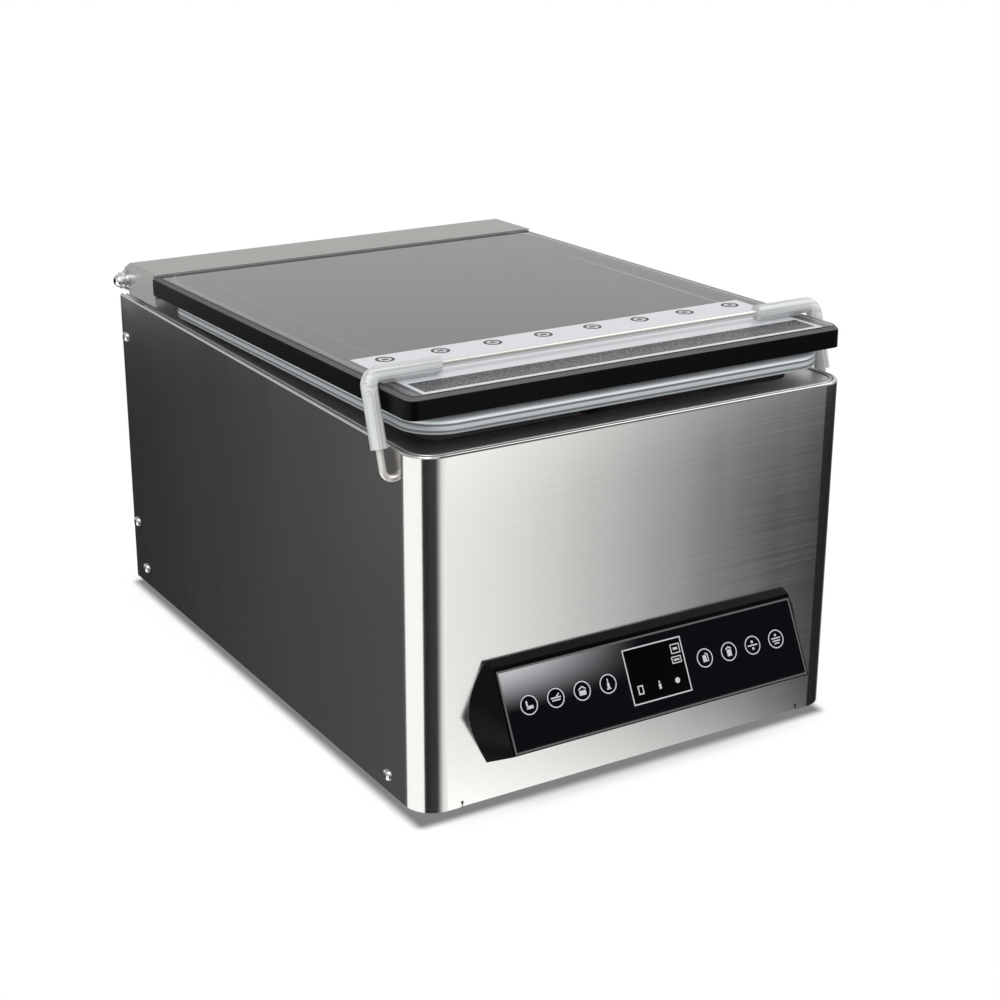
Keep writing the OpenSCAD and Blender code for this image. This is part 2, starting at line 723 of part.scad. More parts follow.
// Torsion spring round each hinge pin, one leg down on the deck and one leg forward under the bar
spring_turns = 4;
spring_wire = 1.1;
module lid_springs() {
  pitch = 2 * spring_wire + 0.5;
  coil_r = pin_r + run_gap + spring_wire + 0.8;
  steps = 12;
  coil = [for (i = [0:(spring_turns + 0.5) * steps])
    [pitch * i / steps, coil_r * sin(360 * i / steps), -coil_r * cos(360 * i / steps)]];
  deck_leg = [[0, -26, deck_z - hinge_z + spring_wire + 0.1], [0, -12, -coil_r - 2]];
  x = pitch * (spring_turns + 0.5);
  under_lid = lid_z0 - hinge_z - spring_wire - gap;
  lid_leg = [[x, -7, coil_r - 1], [x, -11, coil_r / 2], [x, -14, under_lid - 1.5],
             [x, -30, under_lid]];
  color("dimgray") for (sx = [-1, 1]) mirror([sx < 0 ? 1 : 0, 0, 0])
    translate([spring_x, hinge_y, hinge_z])
      tube_along(concat(deck_leg, coil, lid_leg), spring_wire, 6);
}

// Switch that tells whether the lid is closed: body under the deck, plunger up through it
switch_side_x = half_w - 46;
switch_y = hinge_y - 40;
plunger_r = 2;
plunger_travel = 1.5;
plunger_in = 8;
barrel_r = 5;
barrel_up = lid_gap - 5;

module lid_switch() {
  color(dark) translate([switch_side_x, switch_y, 0]) difference() {
    union() {
      translate([-8, -14, deck_z - deck_t - 18]) cube([16, 28, 18]);
      translate([0, 0, deck_z - deck_t - 1]) cylinder(r = barrel_r, h = barrel_up + deck_t + 1);
    }
    translate([0, 0, deck_z - plunger_in - plunger_travel - gap])
      cylinder(r = plunger_r + run_gap, h = 60);
  }
}

module lid_switch_plunger() {
  color("firebrick") translate([switch_side_x, switch_y, deck_z - plunger_in])
    cylinder(r = plunger_r, h = plunger_in + lid_gap - gap);
}

// ---------- bail ----------

module bail_wire() {
  l = bail_reach;
  color("gainsboro") on_bail() {
    translate([0, 0, l]) rod_x(wire_r, -bail_x + bail_bend_r, bail_x - bail_bend_r);
    for (sx = [-1, 1]) mirror([sx < 0 ? 1 : 0, 0, 0]) {
      translate([bail_x - bail_bend_r, 0, l - bail_bend_r]) rotate([90, 0, 0])
        rotate_extrude(angle = 90) translate([bail_bend_r, 0]) circle(wire_r);
      translate([bail_x, 0, bail_low_r]) cylinder(r = wire_r, h = l - bail_bend_r - bail_low_r);
      translate([bail_x - bail_low_r, 0, bail_low_r]) rotate([90, 0, 0])
        rotate_extrude(angle = -90) translate([bail_low_r, 0]) circle(wire_r);
      rod_x(wire_r, half_w - bail_pin_in, bail_x - bail_low_r);
    }
  }
}

module bail_sleeves() {
  l = bail_reach;
  r_in = wire_r + 0.05;
  color([0.93, 0.9, 0.82]) on_bail() for (sx = [-1, 1]) mirror([sx < 0 ? 1 : 0, 0, 0]) {
    difference() {
      union() {
        translate([0, 0, l]) rod_x(sleeve_r, bail_x - sleeve_run, bail_x - bail_bend_r);
        translate([bail_x - bail_bend_r, 0, l - bail_bend_r]) rotate([90, 0, 0])
          rotate_extrude(angle = 90) translate([bail_bend_r, 0]) circle(sleeve_r);
        translate([bail_x, 0, sleeve_low]) cylinder(r = sleeve_r, h = l - bail_bend_r - sleeve_low);
      }
      translate([0, 0, l]) rod_x(r_in, bail_x - sleeve_run - 1, bail_x - bail_bend_r);
      translate([bail_x - bail_bend_r, 0, l - bail_bend_r]) rotate([90, 0, 0])
        rotate_extrude(angle = 90) translate([bail_bend_r, 0]) circle(r_in);
      translate([bail_x, 0, sleeve_low - 1]) cylinder(r = r_in, h = l - bail_bend_r - sleeve_low + 1);
    }
  }
}

module bail_bushes() {
  x1 = half_w - sheet_t;
  color(dark) for (sx = [-1, 1]) mirror([sx < 0 ? 1 : 0, 0, 0]) translate([0, bail_y, bail_z])
    difference() {
      union() { rod_x(8, x1 - 2, x1); rod_x(5.5, x1 - 10, x1 - 2 + eps); }
      rod_x(wire_r + run_gap, x1 - 12, x1 + 1);
    }
}

// ---------- control panel ----------

// Point of the sloping face: x across, v up the face, w out of it
function face_point(x, v, w) =
  [x, face_y + v * sin(lean) - w * cos(lean), face_z + v * cos(lean) + w * sin(lean)];

// Hood of the bezel as one closed skin of five rings of points: the rim on the front panel, the
// face's edge, the pocket's edge, the pocket's wall behind the plate, and the rim's inside
module bezel_hood() {
  hw = face_w / 2;
  top_edge = face_z + face_rise + crown;
  low_edge = face_z - foot_drop;
  steps = 14;
  n = 2 * (steps + 1);
  function share(i) = (i <= steps ? i : n - 1 - i) / steps;
  function hand(i) = i <= steps ? 1 : -1;
  function rim(i, t) = let (f = share(i))
    [hand(i) * (hw - t + (end_bulge - t / 2) * sin(180 * pow(f, 0.85))), front_y,
     (top_edge - t) * (1 - f) + (low_edge + 1.2 * t) * f];
  function edge(i, t, w) =
    face_point(hand(i) * (hw - t), t + (face_h - 2 * t) * (1 - share(i)), w);
  rings = [
    [for (i = [0:n - 1]) rim(i, 0)],
    [for (i = [0:n - 1]) edge(i, 0, 0)],
    [for (i = [0:n - 1]) edge(i, frame_edge, 0)],
    [for (i = [0:n - 1]) edge(i, frame_edge, -bezel_wall - 1)],
    [for (i = [0:n - 1]) rim(i, bezel_wall)]];
  polyhedron([for (ring = rings) each ring], [
    for (k = [0:4], i = [0:n - 1]) let (a = k * n, b = (k + 1) % 5 * n, j = (i + 1) % n)
      each [[a + i, b + j, b + i], [a + i, a + j, b + j]]], convexity = 6);
}

module control_bezel() {
  lap = 0.5;               // how far the plate and the posts run into the hood
  in = frame_edge - lap;
  color(dark) bezel_hood();
  color(dark) on_face() {
    // plate at the bottom of the pocket, with the holes for the keys and the window
    difference() {
      translate([-face_w / 2 + in, in, -bezel_wall])
        cube([face_w - 2 * in, face_h - 2 * in, bezel_wall - overlay_t]);
      for (x = key_x) translate([x, key_v, -bezel_wall - 3]) cylinder(r = key_r + gap, h = 9);
      translate([-display_w / 2, window_v - display_h / 2, -bezel_wall - 3])
        cube([display_w, display_h, 9]);
    }
    // posts that carry the keypad board
    for (sx = [-1, 1], v = [11, face_h - 13])
      translate([sx * (face_w / 2 - 12), v, -board_d])
        cylinder(r = 3, h = board_d - bezel_wall + lap);
  }
}

module control_overlay() {
  color("#101012") on_face() difference() {
    translate([0, 0, -overlay_t]) linear_extrude(overlay_t)
      translate([-face_w / 2 + frame_edge + 0.1, frame_edge + 0.1])
        square([face_w - 2 * frame_edge - 0.2, face_h - 2 * frame_edge - 0.2]);
    for (x = key_x) translate([x, key_v, -2]) cylinder(r = key_r + gap, h = 3);
    translate([-display_w / 2, window_v - display_h / 2, -2]) cube([display_w, display_h, 3]);
  }
}

module display_window() {
  color([0.1, 0.1, 0.12, 0.6]) on_face()
    translate([-display_w / 2 + 0.1, window_v - display_h / 2 + 0.1, -bezel_wall])
      cube([display_w - 0.2, display_h - 0.2, bezel_wall]);
}

module display_module() {
  color("darkslategray") on_face()
    translate([-display_w / 2 + 1, window_v - display_h / 2 + 1, -board_d])
      cube([display_w - 2, display_h - 2, board_d - bezel_wall]);
}

module keypad_board() {
  color("darkgreen") on_face() {
    translate([-face_w / 2 + bezel_wall + 4, 6, -board_d - board_w])
      cube([face_w - 2 * bezel_wall - 8, face_h - 14, board_w]);
    for (x = key_x) translate([x, key_v, -board_d])
      cylinder(r = 3, h = board_d - bezel_wall - key_flange_t - key_travel - gap);
  }
}

module key_cap(i) {
  color("#151517") on_face() translate([key_x[i], key_v, -bezel_wall - gap]) {
    cylinder(r = key_r, h = bezel_wall + gap);
    translate([0, 0, -key_flange_t + gap]) cylinder(r = key_r + key_flange, h = key_flange_t - gap);
  }
}

// ---------- back fittings ----------

module inlet_cut(extra) {
  translate([inlet_x - 14 - extra, rear_y - 9, inlet_z - 10 - extra])
    cube([28 + 2 * extra, 18, 20 + 2 * extra]);
}

module switch_cut(extra) {
  translate([rocker_x - 7 - extra, rear_y - 9, inlet_z - 11 - extra])
    cube([14 + 2 * extra, 18, 22 + 2 * extra]);
}

module power_inlet() {
  flange_t = 2.4;
  depth = 20;
  color(dark) difference() {
    union() {
      translate([inlet_x - 14 + 0.1, rear_y - depth, inlet_z - 10 + 0.1]) cube([27.8, depth, 19.8]);
      translate([inlet_x - 25, rear_y, inlet_z - 12.5]) cube([50, flange_t, 25]);
    }
    translate([inlet_x - 12, rear_y - depth + 4, inlet_z - 8]) cube([24, depth, 16]);
    for (sx = [-1, 1]) translate([inlet_x + sx * 20, rear_y - 1, inlet_z])
      rotate([-90, 0, 0]) cylinder(r = 1.6, h = 5);
  }
  color("gold") for (p = [[-7, -1], [0, 3], [7, -1]])
    translate([inlet_x + p[0] - 1, rear_y - depth + 4, inlet_z + p[1] - 2]) cube([2, 13, 4]);
}

rocker_tilt = 9;
rocker_back = 4;

module switch_housing() {
  color(dark) difference() {
    union() {
      translate([rocker_x - 7 + 0.1, rear_y - 22, inlet_z - 11 + 0.1]) cube([13.8, 22, 21.8]);
      translate([rocker_x - 9, rear_y, inlet_z - 13]) cube([18, 2, 26]);
    }
    translate([rocker_x - 5.5, rear_y - 15, inlet_z - 10]) cube([11, 18, 20]);
    translate([0, rear_y - rocker_back, inlet_z]) rod_x(1.5 + run_gap, rocker_x - 8, rocker_x + 8);
  }
}

module power_rocker() {
  color("firebrick") translate([rocker_x, rear_y - rocker_back, inlet_z])
    rotate([rocker_tilt, 0, 0]) {
      rotate([90, 0, 90]) translate([0, 0, -5.2]) linear_extrude(10.4)
        polygon([[4.6, -9], [3.4, 0], [4.6, 9], [-1, 8.6], [-7, 2.4], [-7, -2.4], [-1, -8.6]]);
      rod_x(1.5, -6.8, 6.8);
    }
}

// ---------- vacuum pump ----------

module motor_housing() {
  fins = 28;
  color("slategray") on_pump() difference() {
    union() {
      translate([motor_x0, 0, 0]) rotate([90, 0, 90]) linear_extrude(motor_len) {
        circle(motor_r - 7);
        for (i = [0:fins - 1]) rotate(i * 360 / fins) translate([0, -1.1]) square([motor_r, 2.2]);
      }
      rod_x(motor_r, motor_x0 - bell_t, motor_x0);
      rod_x(motor_r - 3, motor_x1, pump_x0);
      // two feet rails
      for (x = [motor_x0 + 14, motor_x1 - 26])
        translate([x, -motor_r - 4, -motor_r - 4]) difference() {
          cube([12, 2 * motor_r + 8, 18]);
          translate([-1, 20, -1]) cube([14, 2 * motor_r - 32, 9]);
        }
      // terminal box
      translate([-70, -20, motor_r - 12]) cube([44, 40, 20]);
    }
    rod_x(shaft_r + run_gap, motor_x0 - bell_t - 1, pump_x0 + 1);
  }
}

module fan_cowl() {
  r = motor_r;
  color("gray") on_pump() translate([motor_x0 - bell_t - cowl_len, 0, 0]) difference() {
    rod_x(r, 0, cowl_len);
    rod_x(r - 1.5, 1.5, cowl_len + 1);
    for (ring = [0:3]) for (i = [0:7])
      rotate([i * 45 + ring * 22.5, 0, 0]) translate([0, 0, 10 + ring * 9]) rod_x(3, -1, 3);
  }
}

module motor_shaft() {
  color("silver") on_pump() rod_x(shaft_r, motor_x0 - bell_t - fan_t - 6, pump_x0 + pump_len - 14);
}

module motor_fan() {
  hub_r = shaft_r + 7;
  color("ivory") on_pump() translate([motor_x0 - bell_t - fan_t - 4, 0, 0]) difference() {
    union() {
      rod_x(hub_r, 0, fan_t);
      for (i = [0:fan_blades - 1]) rotate([i * 360 / fan_blades, 0, 0])
        translate([fan_t / 2, 0, hub_r - 2]) rotate([0, 0, 40])
          translate([-1, -9, 0]) cube([2, 18, fan_r - hub_r]);
    }
    rod_x(shaft_r + 0.02, -1, fan_t + 1);
  }
}

// Vane rotor in its round bore, and the inlet neck at the back of the head
rotor_r = 24;
rotor_off = 7;
neck_x = pump_x0 + 20;
neck_up = 22;
neck_out = pump_r + 12;

module pump_head() {
  fins = 9;
  color("steelblue") on_pump() difference() {
    union() {
      rod_x(pump_r - 5, pump_x0, pump_x1);
      for (i = [0:fins - 1]) translate([4 + pump_x0 + i * (pump_len - 10) / (fins - 1), 0, 0])
        rod_x(pump_r, -1, 1);
      translate([pump_x0 + 8, -pump_r, -motor_r - 4]) cube([pump_len - 16, 2 * pump_r, 14]);
      translate([neck_x, 0, neck_up]) rotate([-90, 0, 0]) cylinder(r = 10, h = pump_r + 2);
      translate([neck_x, 0, neck_up]) rotate([-90, 0, 0]) cylinder(r = hose_r - 2, h = neck_out);
    }
    // eccentric vane chamber round the rotor, with the inlet port from the top
    rod_x(rotor_r + rotor_off, pump_x0 + 6, pump_x1 - 8);
    rod_x(shaft_r + run_gap, pump_x0 - 1, pump_x0 + 7);
    translate([neck_x, 0, neck_up]) rotate([-90, 0, 0]) cylinder(r = 3, h = neck_out + 1);
  }
}

module pump_rotor() {
  color("silver") on_pump() translate([pump_x0 + 6 + gap, 0, 0]) rotate([90, 0, 90])
    linear_extrude(pump_len - 14 - 2 * gap) difference() {
      union() {
        circle(rotor_r);
        for (i = [0:3]) rotate(i * 90 + 45) translate([0, -1.5])
          square([rotor_r + rotor_off - gap, 3]);
      }
      circle(shaft_r + 0.02);
    }
}

filter_l = 42;
filter_w = 72;
filter_h = 76;

module exhaust_filter() {
  color("steelblue") on_pump() translate([pump_x1, 0, 0]) union() {
    translate([0, -filter_w / 2, -filter_h / 2]) cube([filter_l, filter_w, filter_h]);
    translate([filter_l / 2, 0, filter_h / 2]) cylinder(r = 13, h = 10);
    translate([filter_l, 0, -14]) rod_x(9, 0, 2);
  }
}

module pump_mounts() {
  color(dark) for (x = [motor_x0 + 20, motor_x1 - 20], sy = [-1, 1])
    translate([x, pump_y + sy * (motor_r - 6), inner_z])
      cylinder(r = 9, h = pump_z - motor_r - 4 - inner_z);
}

// ---------- electrics ----------

core_x = -100;
coil_w = 55;
coil_h = 37;

module transformer() {
  window = [20, core_d + 2, coil_h + 1];
  limb = (core_w - 2 * window[0]) / 4;
  foot_z = inner_z + (core_h - window[2]) / 2;
  translate([core_x, front_y + core_back, 0]) {
    color("dimgray") {
      translate([-core_w / 2, -core_d / 2, inner_z]) difference() {
        cube([core_w, core_d, core_h]);
        for (dx = [limb, core_w - limb - window[0]])
          translate([dx, -1, foot_z - inner_z]) cube(window);
      }
      translate([-core_w / 2 - 8, -12, inner_z]) cube([core_w + 16, 24, 3]);
    }
    // winding round the middle limb
    color("chocolate") difference() {
      translate([-coil_w / 2, -core_d / 2 - 8, foot_z + 0.5]) cube([coil_w, core_d + 16, coil_h]);
      translate([-limb - 0.1, -core_d / 2 - 0.1, foot_z]) cube([2 * limb + 0.2, core_d + 0.2, window[2]]);
    }
  }
}

valve_x = 55;
valve_y = front_y + valve_back;
valve_n = 3;
valve_h = 26;
barb_x = 56;
lift_hose_r = 4;

module valve_block() {
  color("silver") {
    difference() {
      translate([valve_x - barb_x - 8, valve_y - 18, inner_z]) cube([2 * barb_x + 16, 36, valve_h]);
      for (i = [0:valve_n - 1]) translate([valve_x + (i - 1) * valve_pitch, valve_y - 19, inner_z + 13])
        rotate([-90, 0, 0]) cylinder(r = 4, h = 12);
    }
    for (sx = [-1, 1]) translate([valve_x + sx * barb_x, valve_y, inner_z + valve_h - eps])
      cylinder(r = lift_hose_r - 1, h = 8 + eps);
  }
}

module solenoid_coils() {
  color("black") for (i = [0:valve_n - 1])
    translate([valve_x + (i - 1) * valve_pitch, valve_y, inner_z + valve_h]) {
      translate([-13, -14, 0]) cube([26, 28, 24]);
      cylinder(r = 6, h = 30);
    }
}

// Control board on four spacers against the right side wall
module control_board() {
  spacer = 12;
  card_back = 60;
  card_up = 14;
  translate([half_w - sheet_t - spacer, front_y + card_back, inner_z + card_up]) {
    color("darkgreen") cube([1.6, card_len, card_h]);
    color("gray") {
      for (y = [10, card_len - 10], z = [10, card_h - 10]) translate([1.6, y, z])
        rotate([0, 90, 0]) cylinder(r = 3, h = spacer - 1.6);
      // heat sink, relays and a capacitor on its face
      translate([-20, 20, 16]) cube([20, 26, 40]);
      translate([-14, 60, 16]) cube([14, 60, 22]);
      translate([-16, 80, 56]) rotate([0, 90, 0]) cylinder(r = 9, h = 16);
    }
  }
}

// Hose from a, leaving along u, to b, arriving along v
module hose(a, u, b, v, r, sides) { tube_along(bend(a, u, b, v), r, sides, u, v); }

module chamber_hose() {
  color("#303030") hose([port_x, port_y, under_z - 12], [0, 0, -45],
                        [neck_x, pump_y + neck_out, pump_z + neck_up], [0, -40, 0], hose_r, 10);
}

module lift_hoses() {
  color("#303030") for (sx = [-1, 1])
    hose([valve_x + sx * barb_x, valve_y, inner_z + valve_h + 8], [0, 0, 40],
         [sx * post_x, seal_y + cylinder_r + 9, under_z - cylinder_h + 5], [0, -30, 0],
         lift_hose_r, 8);
}

// ---------- assembly ----------

cabinet_wrap();
deck_plate();
base_plate();
back_panel();
rubber_feet();
cabinet_screws();
vacuum_chamber();
vacuum_port();
filler_plate();
lift_cylinders();
hinge_brackets();
lid_springs();
lid_switch();
lid_switch_plunger();
bail_bushes();
control_bezel();
control_overlay();
display_window();
display_module();
keypad_board();
power_inlet();
switch_housing();
power_rocker();
motor_housing();
fan_cowl();
motor_shaft();
motor_fan();
pump_head();
pump_rotor();
exhaust_filter();
pump_mounts();
transformer();
valve_block();
solenoid_coils();
control_board();
chamber_hose();
lift_hoses();
lid_panel();
lid_gasket();
hinge_bar();
hinge_bolts();
backing_bar();
backing_pad();
bail_wire();
bail_sleeves();
seal_bar();
heating_strip();
lift_posts();
key_cap(0);  // key_1
key_cap(1);  // key_2
key_cap(2);  // key_3
key_cap(3);  // key_4
key_cap(4);  // key_5
key_cap(5);  // key_6
key_cap(6);  // key_7
key_cap(7);  // key_8
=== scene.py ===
import math

import bpy
import numpy as np
from mathutils import Matrix, Vector


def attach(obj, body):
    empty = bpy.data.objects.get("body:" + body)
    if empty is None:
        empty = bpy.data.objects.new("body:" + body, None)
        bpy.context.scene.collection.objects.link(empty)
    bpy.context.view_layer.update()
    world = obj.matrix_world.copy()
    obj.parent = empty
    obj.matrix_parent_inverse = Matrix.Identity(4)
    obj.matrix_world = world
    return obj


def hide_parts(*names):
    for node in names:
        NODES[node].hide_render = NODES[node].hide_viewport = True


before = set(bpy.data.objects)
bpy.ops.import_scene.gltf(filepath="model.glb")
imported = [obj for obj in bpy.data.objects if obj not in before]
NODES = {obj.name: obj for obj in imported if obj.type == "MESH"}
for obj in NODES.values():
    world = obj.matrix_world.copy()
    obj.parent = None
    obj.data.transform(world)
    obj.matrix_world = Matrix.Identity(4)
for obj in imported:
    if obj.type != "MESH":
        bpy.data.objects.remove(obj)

bl_info = {
    "name": "Compact chamber vacuum sealer",
    "version": (1, 0, 0),
    "blender": (4, 5, 0),
    "location": "View3D > Sidebar > Sealer",
    "description": "Finishes, prints, soft seal and studio for a compact chamber vacuum sealer",
    "category": "Object",
}

MM = 0.001

# Places that the CAD model fixes, in metres
HINGE = np.array([0.0, 0.2505, 0.270])        # lid's axis
AJAR = math.radians(1.14)                     # how far open the lid stands at rest
LID_UNDER, LID_TOP = 0.2685, 0.284            # faces of the closed lid's panel
LID_HALF, LID_FRONT, LID_BACK = 0.1745, -0.226, 0.2365
LID_CORNER, LID_BEVEL = 0.008, 0.003
BAR_TOP = 0.2855                              # top of the hinge bar, on the closed lid
BAR_HALF, BAR_FRONT = 0.1718, 0.1858          # where the bar's end and front edges start
SEAL_HEIGHT = 0.0132                          # from the lid's underside to the seal's foot
BAIL_LEAN = math.radians(17.85)               # the bail's legs lean back
WALL_X, PANEL_Y, BACK_Y = 0.175, -0.2355, 0.2645    # side, front and back of the cabinet
FACE_FOOT = np.array([0.0, -0.2695, 0.053])   # bottom edge of the sloping face
FACE_LEAN = math.atan2(27.0, 53.0)
FACE_HEIGHT = 0.0594811                       # up the slope
KEY_ROW = (-103.7, -82.7, -61.7, -40.7, 40.7, 61.7, 82.7, 103.7)    # keys' middles, mm
KEY_V = 30.34                                 # and their height up the face, mm
PRINT_LIFT = 0.06                             # a print above what it is printed on, mm


# ---------- shader building ----------

class Value:
    """A socket of a material; arithmetic on it adds Math nodes."""

    def __init__(self, paint, socket):
        self.paint, self.socket = paint, socket

    def math(self, operation, *inputs):
        return self.paint.add("Math", {"operation": operation}, dict(enumerate(inputs)))

    def __add__(self, other): return self.math("ADD", self, other)
    def __radd__(self, other): return self.math("ADD", other, self)
    def __sub__(self, other): return self.math("SUBTRACT", self, other)
    def __rsub__(self, other): return self.math("SUBTRACT", other, self)
    def __mul__(self, other): return self.math("MULTIPLY", self, other)
    def __rmul__(self, other): return self.math("MULTIPLY", other, self)
    def __truediv__(self, other): return self.math("DIVIDE", self, other)
    def __rtruediv__(self, other): return self.math("DIVIDE", other, self)
    def __gt__(self, other): return self.math("GREATER_THAN", self, other)
    def __lt__(self, other): return self.math("LESS_THAN", self, other)

    def low(self, other): return self.math("MINIMUM", self, other)
    def high(self, other): return self.math("MAXIMUM", self, other)
    def size(self): return self.math("ABSOLUTE", self)
    def wave(self): return self.math("SINE", self)
    def root(self): return self.math("SQRT", self)

    def step(self, start, end):
        """0 before start, 1 after end, smooth between."""
        return self.paint.add("MapRange", {"interpolation_type": "SMOOTHSTEP"},
                              {"Value": self, "From Min": start, "From Max": end})


class Paint:
    """A node tree being painted. add() makes any node and returns its first output."""

    def __init__(self, owner):
        owner.use_nodes = True
        self.owner, self.tree = owner, owner.node_tree
        self.tree.nodes.clear()
        self.place = None

    def add(self, kind, settings=None, inputs=None, out=0):
        node = self.tree.nodes.new("ShaderNode" + kind)
        for key, value in (settings or {}).items():
            if key == "stops":
                ramp = node.color_ramp.elements
                while len(ramp) < len(value):
                    ramp.new(0.5)
                for stop, (at, tone) in zip(ramp, value):
                    stop.position, stop.color = at, (*tone, 1.0)
            else:
                setattr(node, key, value)
        for key, value in (inputs or {}).items():
            if isinstance(value, Value):
                self.tree.links.new(value.socket, node.inputs[key])
            else:
                node.inputs[key].default_value = value
        return Value(self, node.outputs[out]) if node.outputs else None

    def other(self, value, name):
        """Another output of the node that a value comes from."""
        return Value(self, value.socket.node.outputs[name])

    def here(self):
        """Object coordinates."""
        if self.place is None:
            self.place = self.add("TexCoord", out="Object")
        return self.place

    def xyz(self, place=None):
        """The three parts of a place, which is the object coordinates unless one is given."""
        split = self.add("SeparateXYZ", None, {0: place or self.here()})
        return split, self.other(split, "Y"), self.other(split, "Z")

    def scaled(self, scale):
        """Object coordinates times a frequency, in cycles a metre, along each axis."""
        return self.add("VectorMath", {"operation": "MULTIPLY"}, {0: self.here(), 1: scale})

    def noise(self, scale, detail, rough=0.5):
        return self.add("TexNoise", None, {"Vector": self.scaled(scale), "Scale": 1.0,
                                           "Detail": detail, "Roughness": rough})

    def cell_edges(self, scale):
        """Distance to the nearest edge between cells."""
        return self.add("TexVoronoi", {"feature": "DISTANCE_TO_EDGE"},
                        {"Vector": self.scaled(scale), "Scale": 1.0})

    def closed_lid(self):
        """Object coordinates turned about the hinge as if the lid were shut."""
        x, y, z = self.xyz()
        s, c = math.sin(AJAR), math.cos(AJAR)
        y, z = y - HINGE[1], z - HINGE[2]
        return x, y * c - z * s + HINGE[1], y * s + z * c + HINGE[2]

    def mix(self, factor, a, b):
        """Colour a at factor 0 and b at 1."""
        return self.add("Mix", {"data_type": "RGBA"},
                        {0: factor, 6: tint(a), 7: tint(b)}, out=2)

    def bump(self, height, strength, distance):
        return self.add("Bump", None,
                        {"Height": height, "Strength": strength, "Distance": distance})

    def shade(self, **sockets):
        """A Principled shader on the surface."""
        self.add("OutputMaterial", None, {"Surface": self.shader(**sockets)})
        return self.owner

    def shader(self, **sockets):
        """A Principled shader; socket names are written with _ for a space."""
        return self.add("BsdfPrincipled", None,
                        {name.replace("_", " "): tint(value) for name, value in sockets.items()})


def tint(value):
    """A colour of three numbers gets its fourth."""
    return (*value, 1.0) if isinstance(value, (tuple, list)) and len(value) == 3 else value


def grey(level, warm=0.0):
    """A near-neutral colour; warm above 0 leans to red and below 0 to blue."""
    return (level * (1 + warm), level, level * (1 - warm))


def new_paint(name):
    return Paint(bpy.data.materials.new(name))


# ---------- finishes ----------
# A bump's distance and every length are in metres, and noise scales in cycles a metre.

BRUSHING = {"wall": ((6, 6, 1100), (26, 26, 1.5)),      # scales of the streaks and of the bands
            "x": ((6, 1100, 1100), (3, 60, 60))}


def brushed(name, along, tone, rough=0.125, streak=0.09, painted_edge_light=None):
    """Brushed stainless: fine streaks of noise drawn out along the wall or along x, soft bands that
    the rolling left, and a faint cloud of handling. A bar on the lid can have paler, less metallic
    edges at its ends and its front, a painted light found by their place on the closed lid."""
    p = new_paint(name)
    fine, broad = BRUSHING[along]
    lines = p.noise(fine, 3, 0.6)
    bands = p.noise(broad, 2, 0.5)
    cloud = p.noise((9, 9, 9), 3, 0.55)
    colour = p.mix(lines * 0.5 + bands * 0.5, [c * (1 - streak) for c in tone],
                   [min(1, c * (1 + streak)) for c in tone])
    metal = 1.0
    if painted_edge_light:
        # Painted light: the bar's ends and front are made paler and less metallic
        x, y, z = p.closed_lid()
        edge = (z < BAR_TOP - 0.0002) * (x.size() > BAR_HALF).high(y < BAR_FRONT)
        colour = p.mix(edge, colour, painted_edge_light)
        metal = 1.0 - edge * 0.7
    return p.shade(Base_Color=colour, Metallic=metal,
                   Roughness=((lines - 0.5) * 0.07 + (bands - 0.5) * 0.06 + (cloud - 0.5) * 0.05
                              + rough),
                   Normal=p.bump(lines, 0.016, 0.0003))


def bright(name, tone=(0.72, 0.72, 0.73), rough=0.12, metallic=1.0, dents=0.04):
    """Polished or plated metal; its faint drawn marks dent it and break up its gloss alike."""
    p = new_paint(name)
    marks = p.noise((300, 300, 300), 3, 0.6)
    cloud = p.noise((40, 40, 40), 2)
    return p.shade(Base_Color=p.mix(cloud, [c * 0.93 for c in tone], tone), Metallic=metallic,
                   Roughness=(marks - 0.5) * (dents * 2.5) + rough,
                   Normal=p.bump(marks, dents, 0.0002))


def cast(name, tone, rough, metallic=1.0):
    """Sand-cast or painted metal: a grain of small cells and a soft cloud."""
    p = new_paint(name)
    grain = p.noise((700, 700, 700), 4, 0.65)
    cloud = p.noise((30, 30, 30), 3)
    return p.shade(Base_Color=p.mix(cloud, [c * 0.8 for c in tone], tone), Metallic=metallic,
                   Roughness=(grain - 0.5) * 0.2 + rough, Normal=p.bump(grain, 0.25, 0.0006))


def moulded(name, tone, rough=0.42, grain=0.12, coat=0.0, specular=0.5):
    """Moulded plastic or rubber: fine spark-eroded grain and a slight drift of gloss."""
    p = new_paint(name)
    pits = p.noise((1400, 1400, 1400), 3, 0.6)
    cloud = p.noise((22, 22, 22), 2)
    worn = [c * 1.1 + 0.002 for c in tone]
    return p.shade(Base_Color=p.mix(cloud, tone, worn), Roughness=(cloud - 0.5) * 0.12 + rough,
                   Coat_Weight=coat, Specular_IOR_Level=specular,
                   Normal=p.bump(pits, grain, 0.0003))


# Two pale outlines painted on the lid for the lit seal seen through it: half width, front, back and
# corner radius. Their fronts lie past the lid's own, so that only the sides and the backs show.
OUTER_OUTLINE = (0.1676, -0.35, 0.2004, 0.045)
INNER_OUTLINE = (0.1436, -0.35, 0.1600, 0.036)


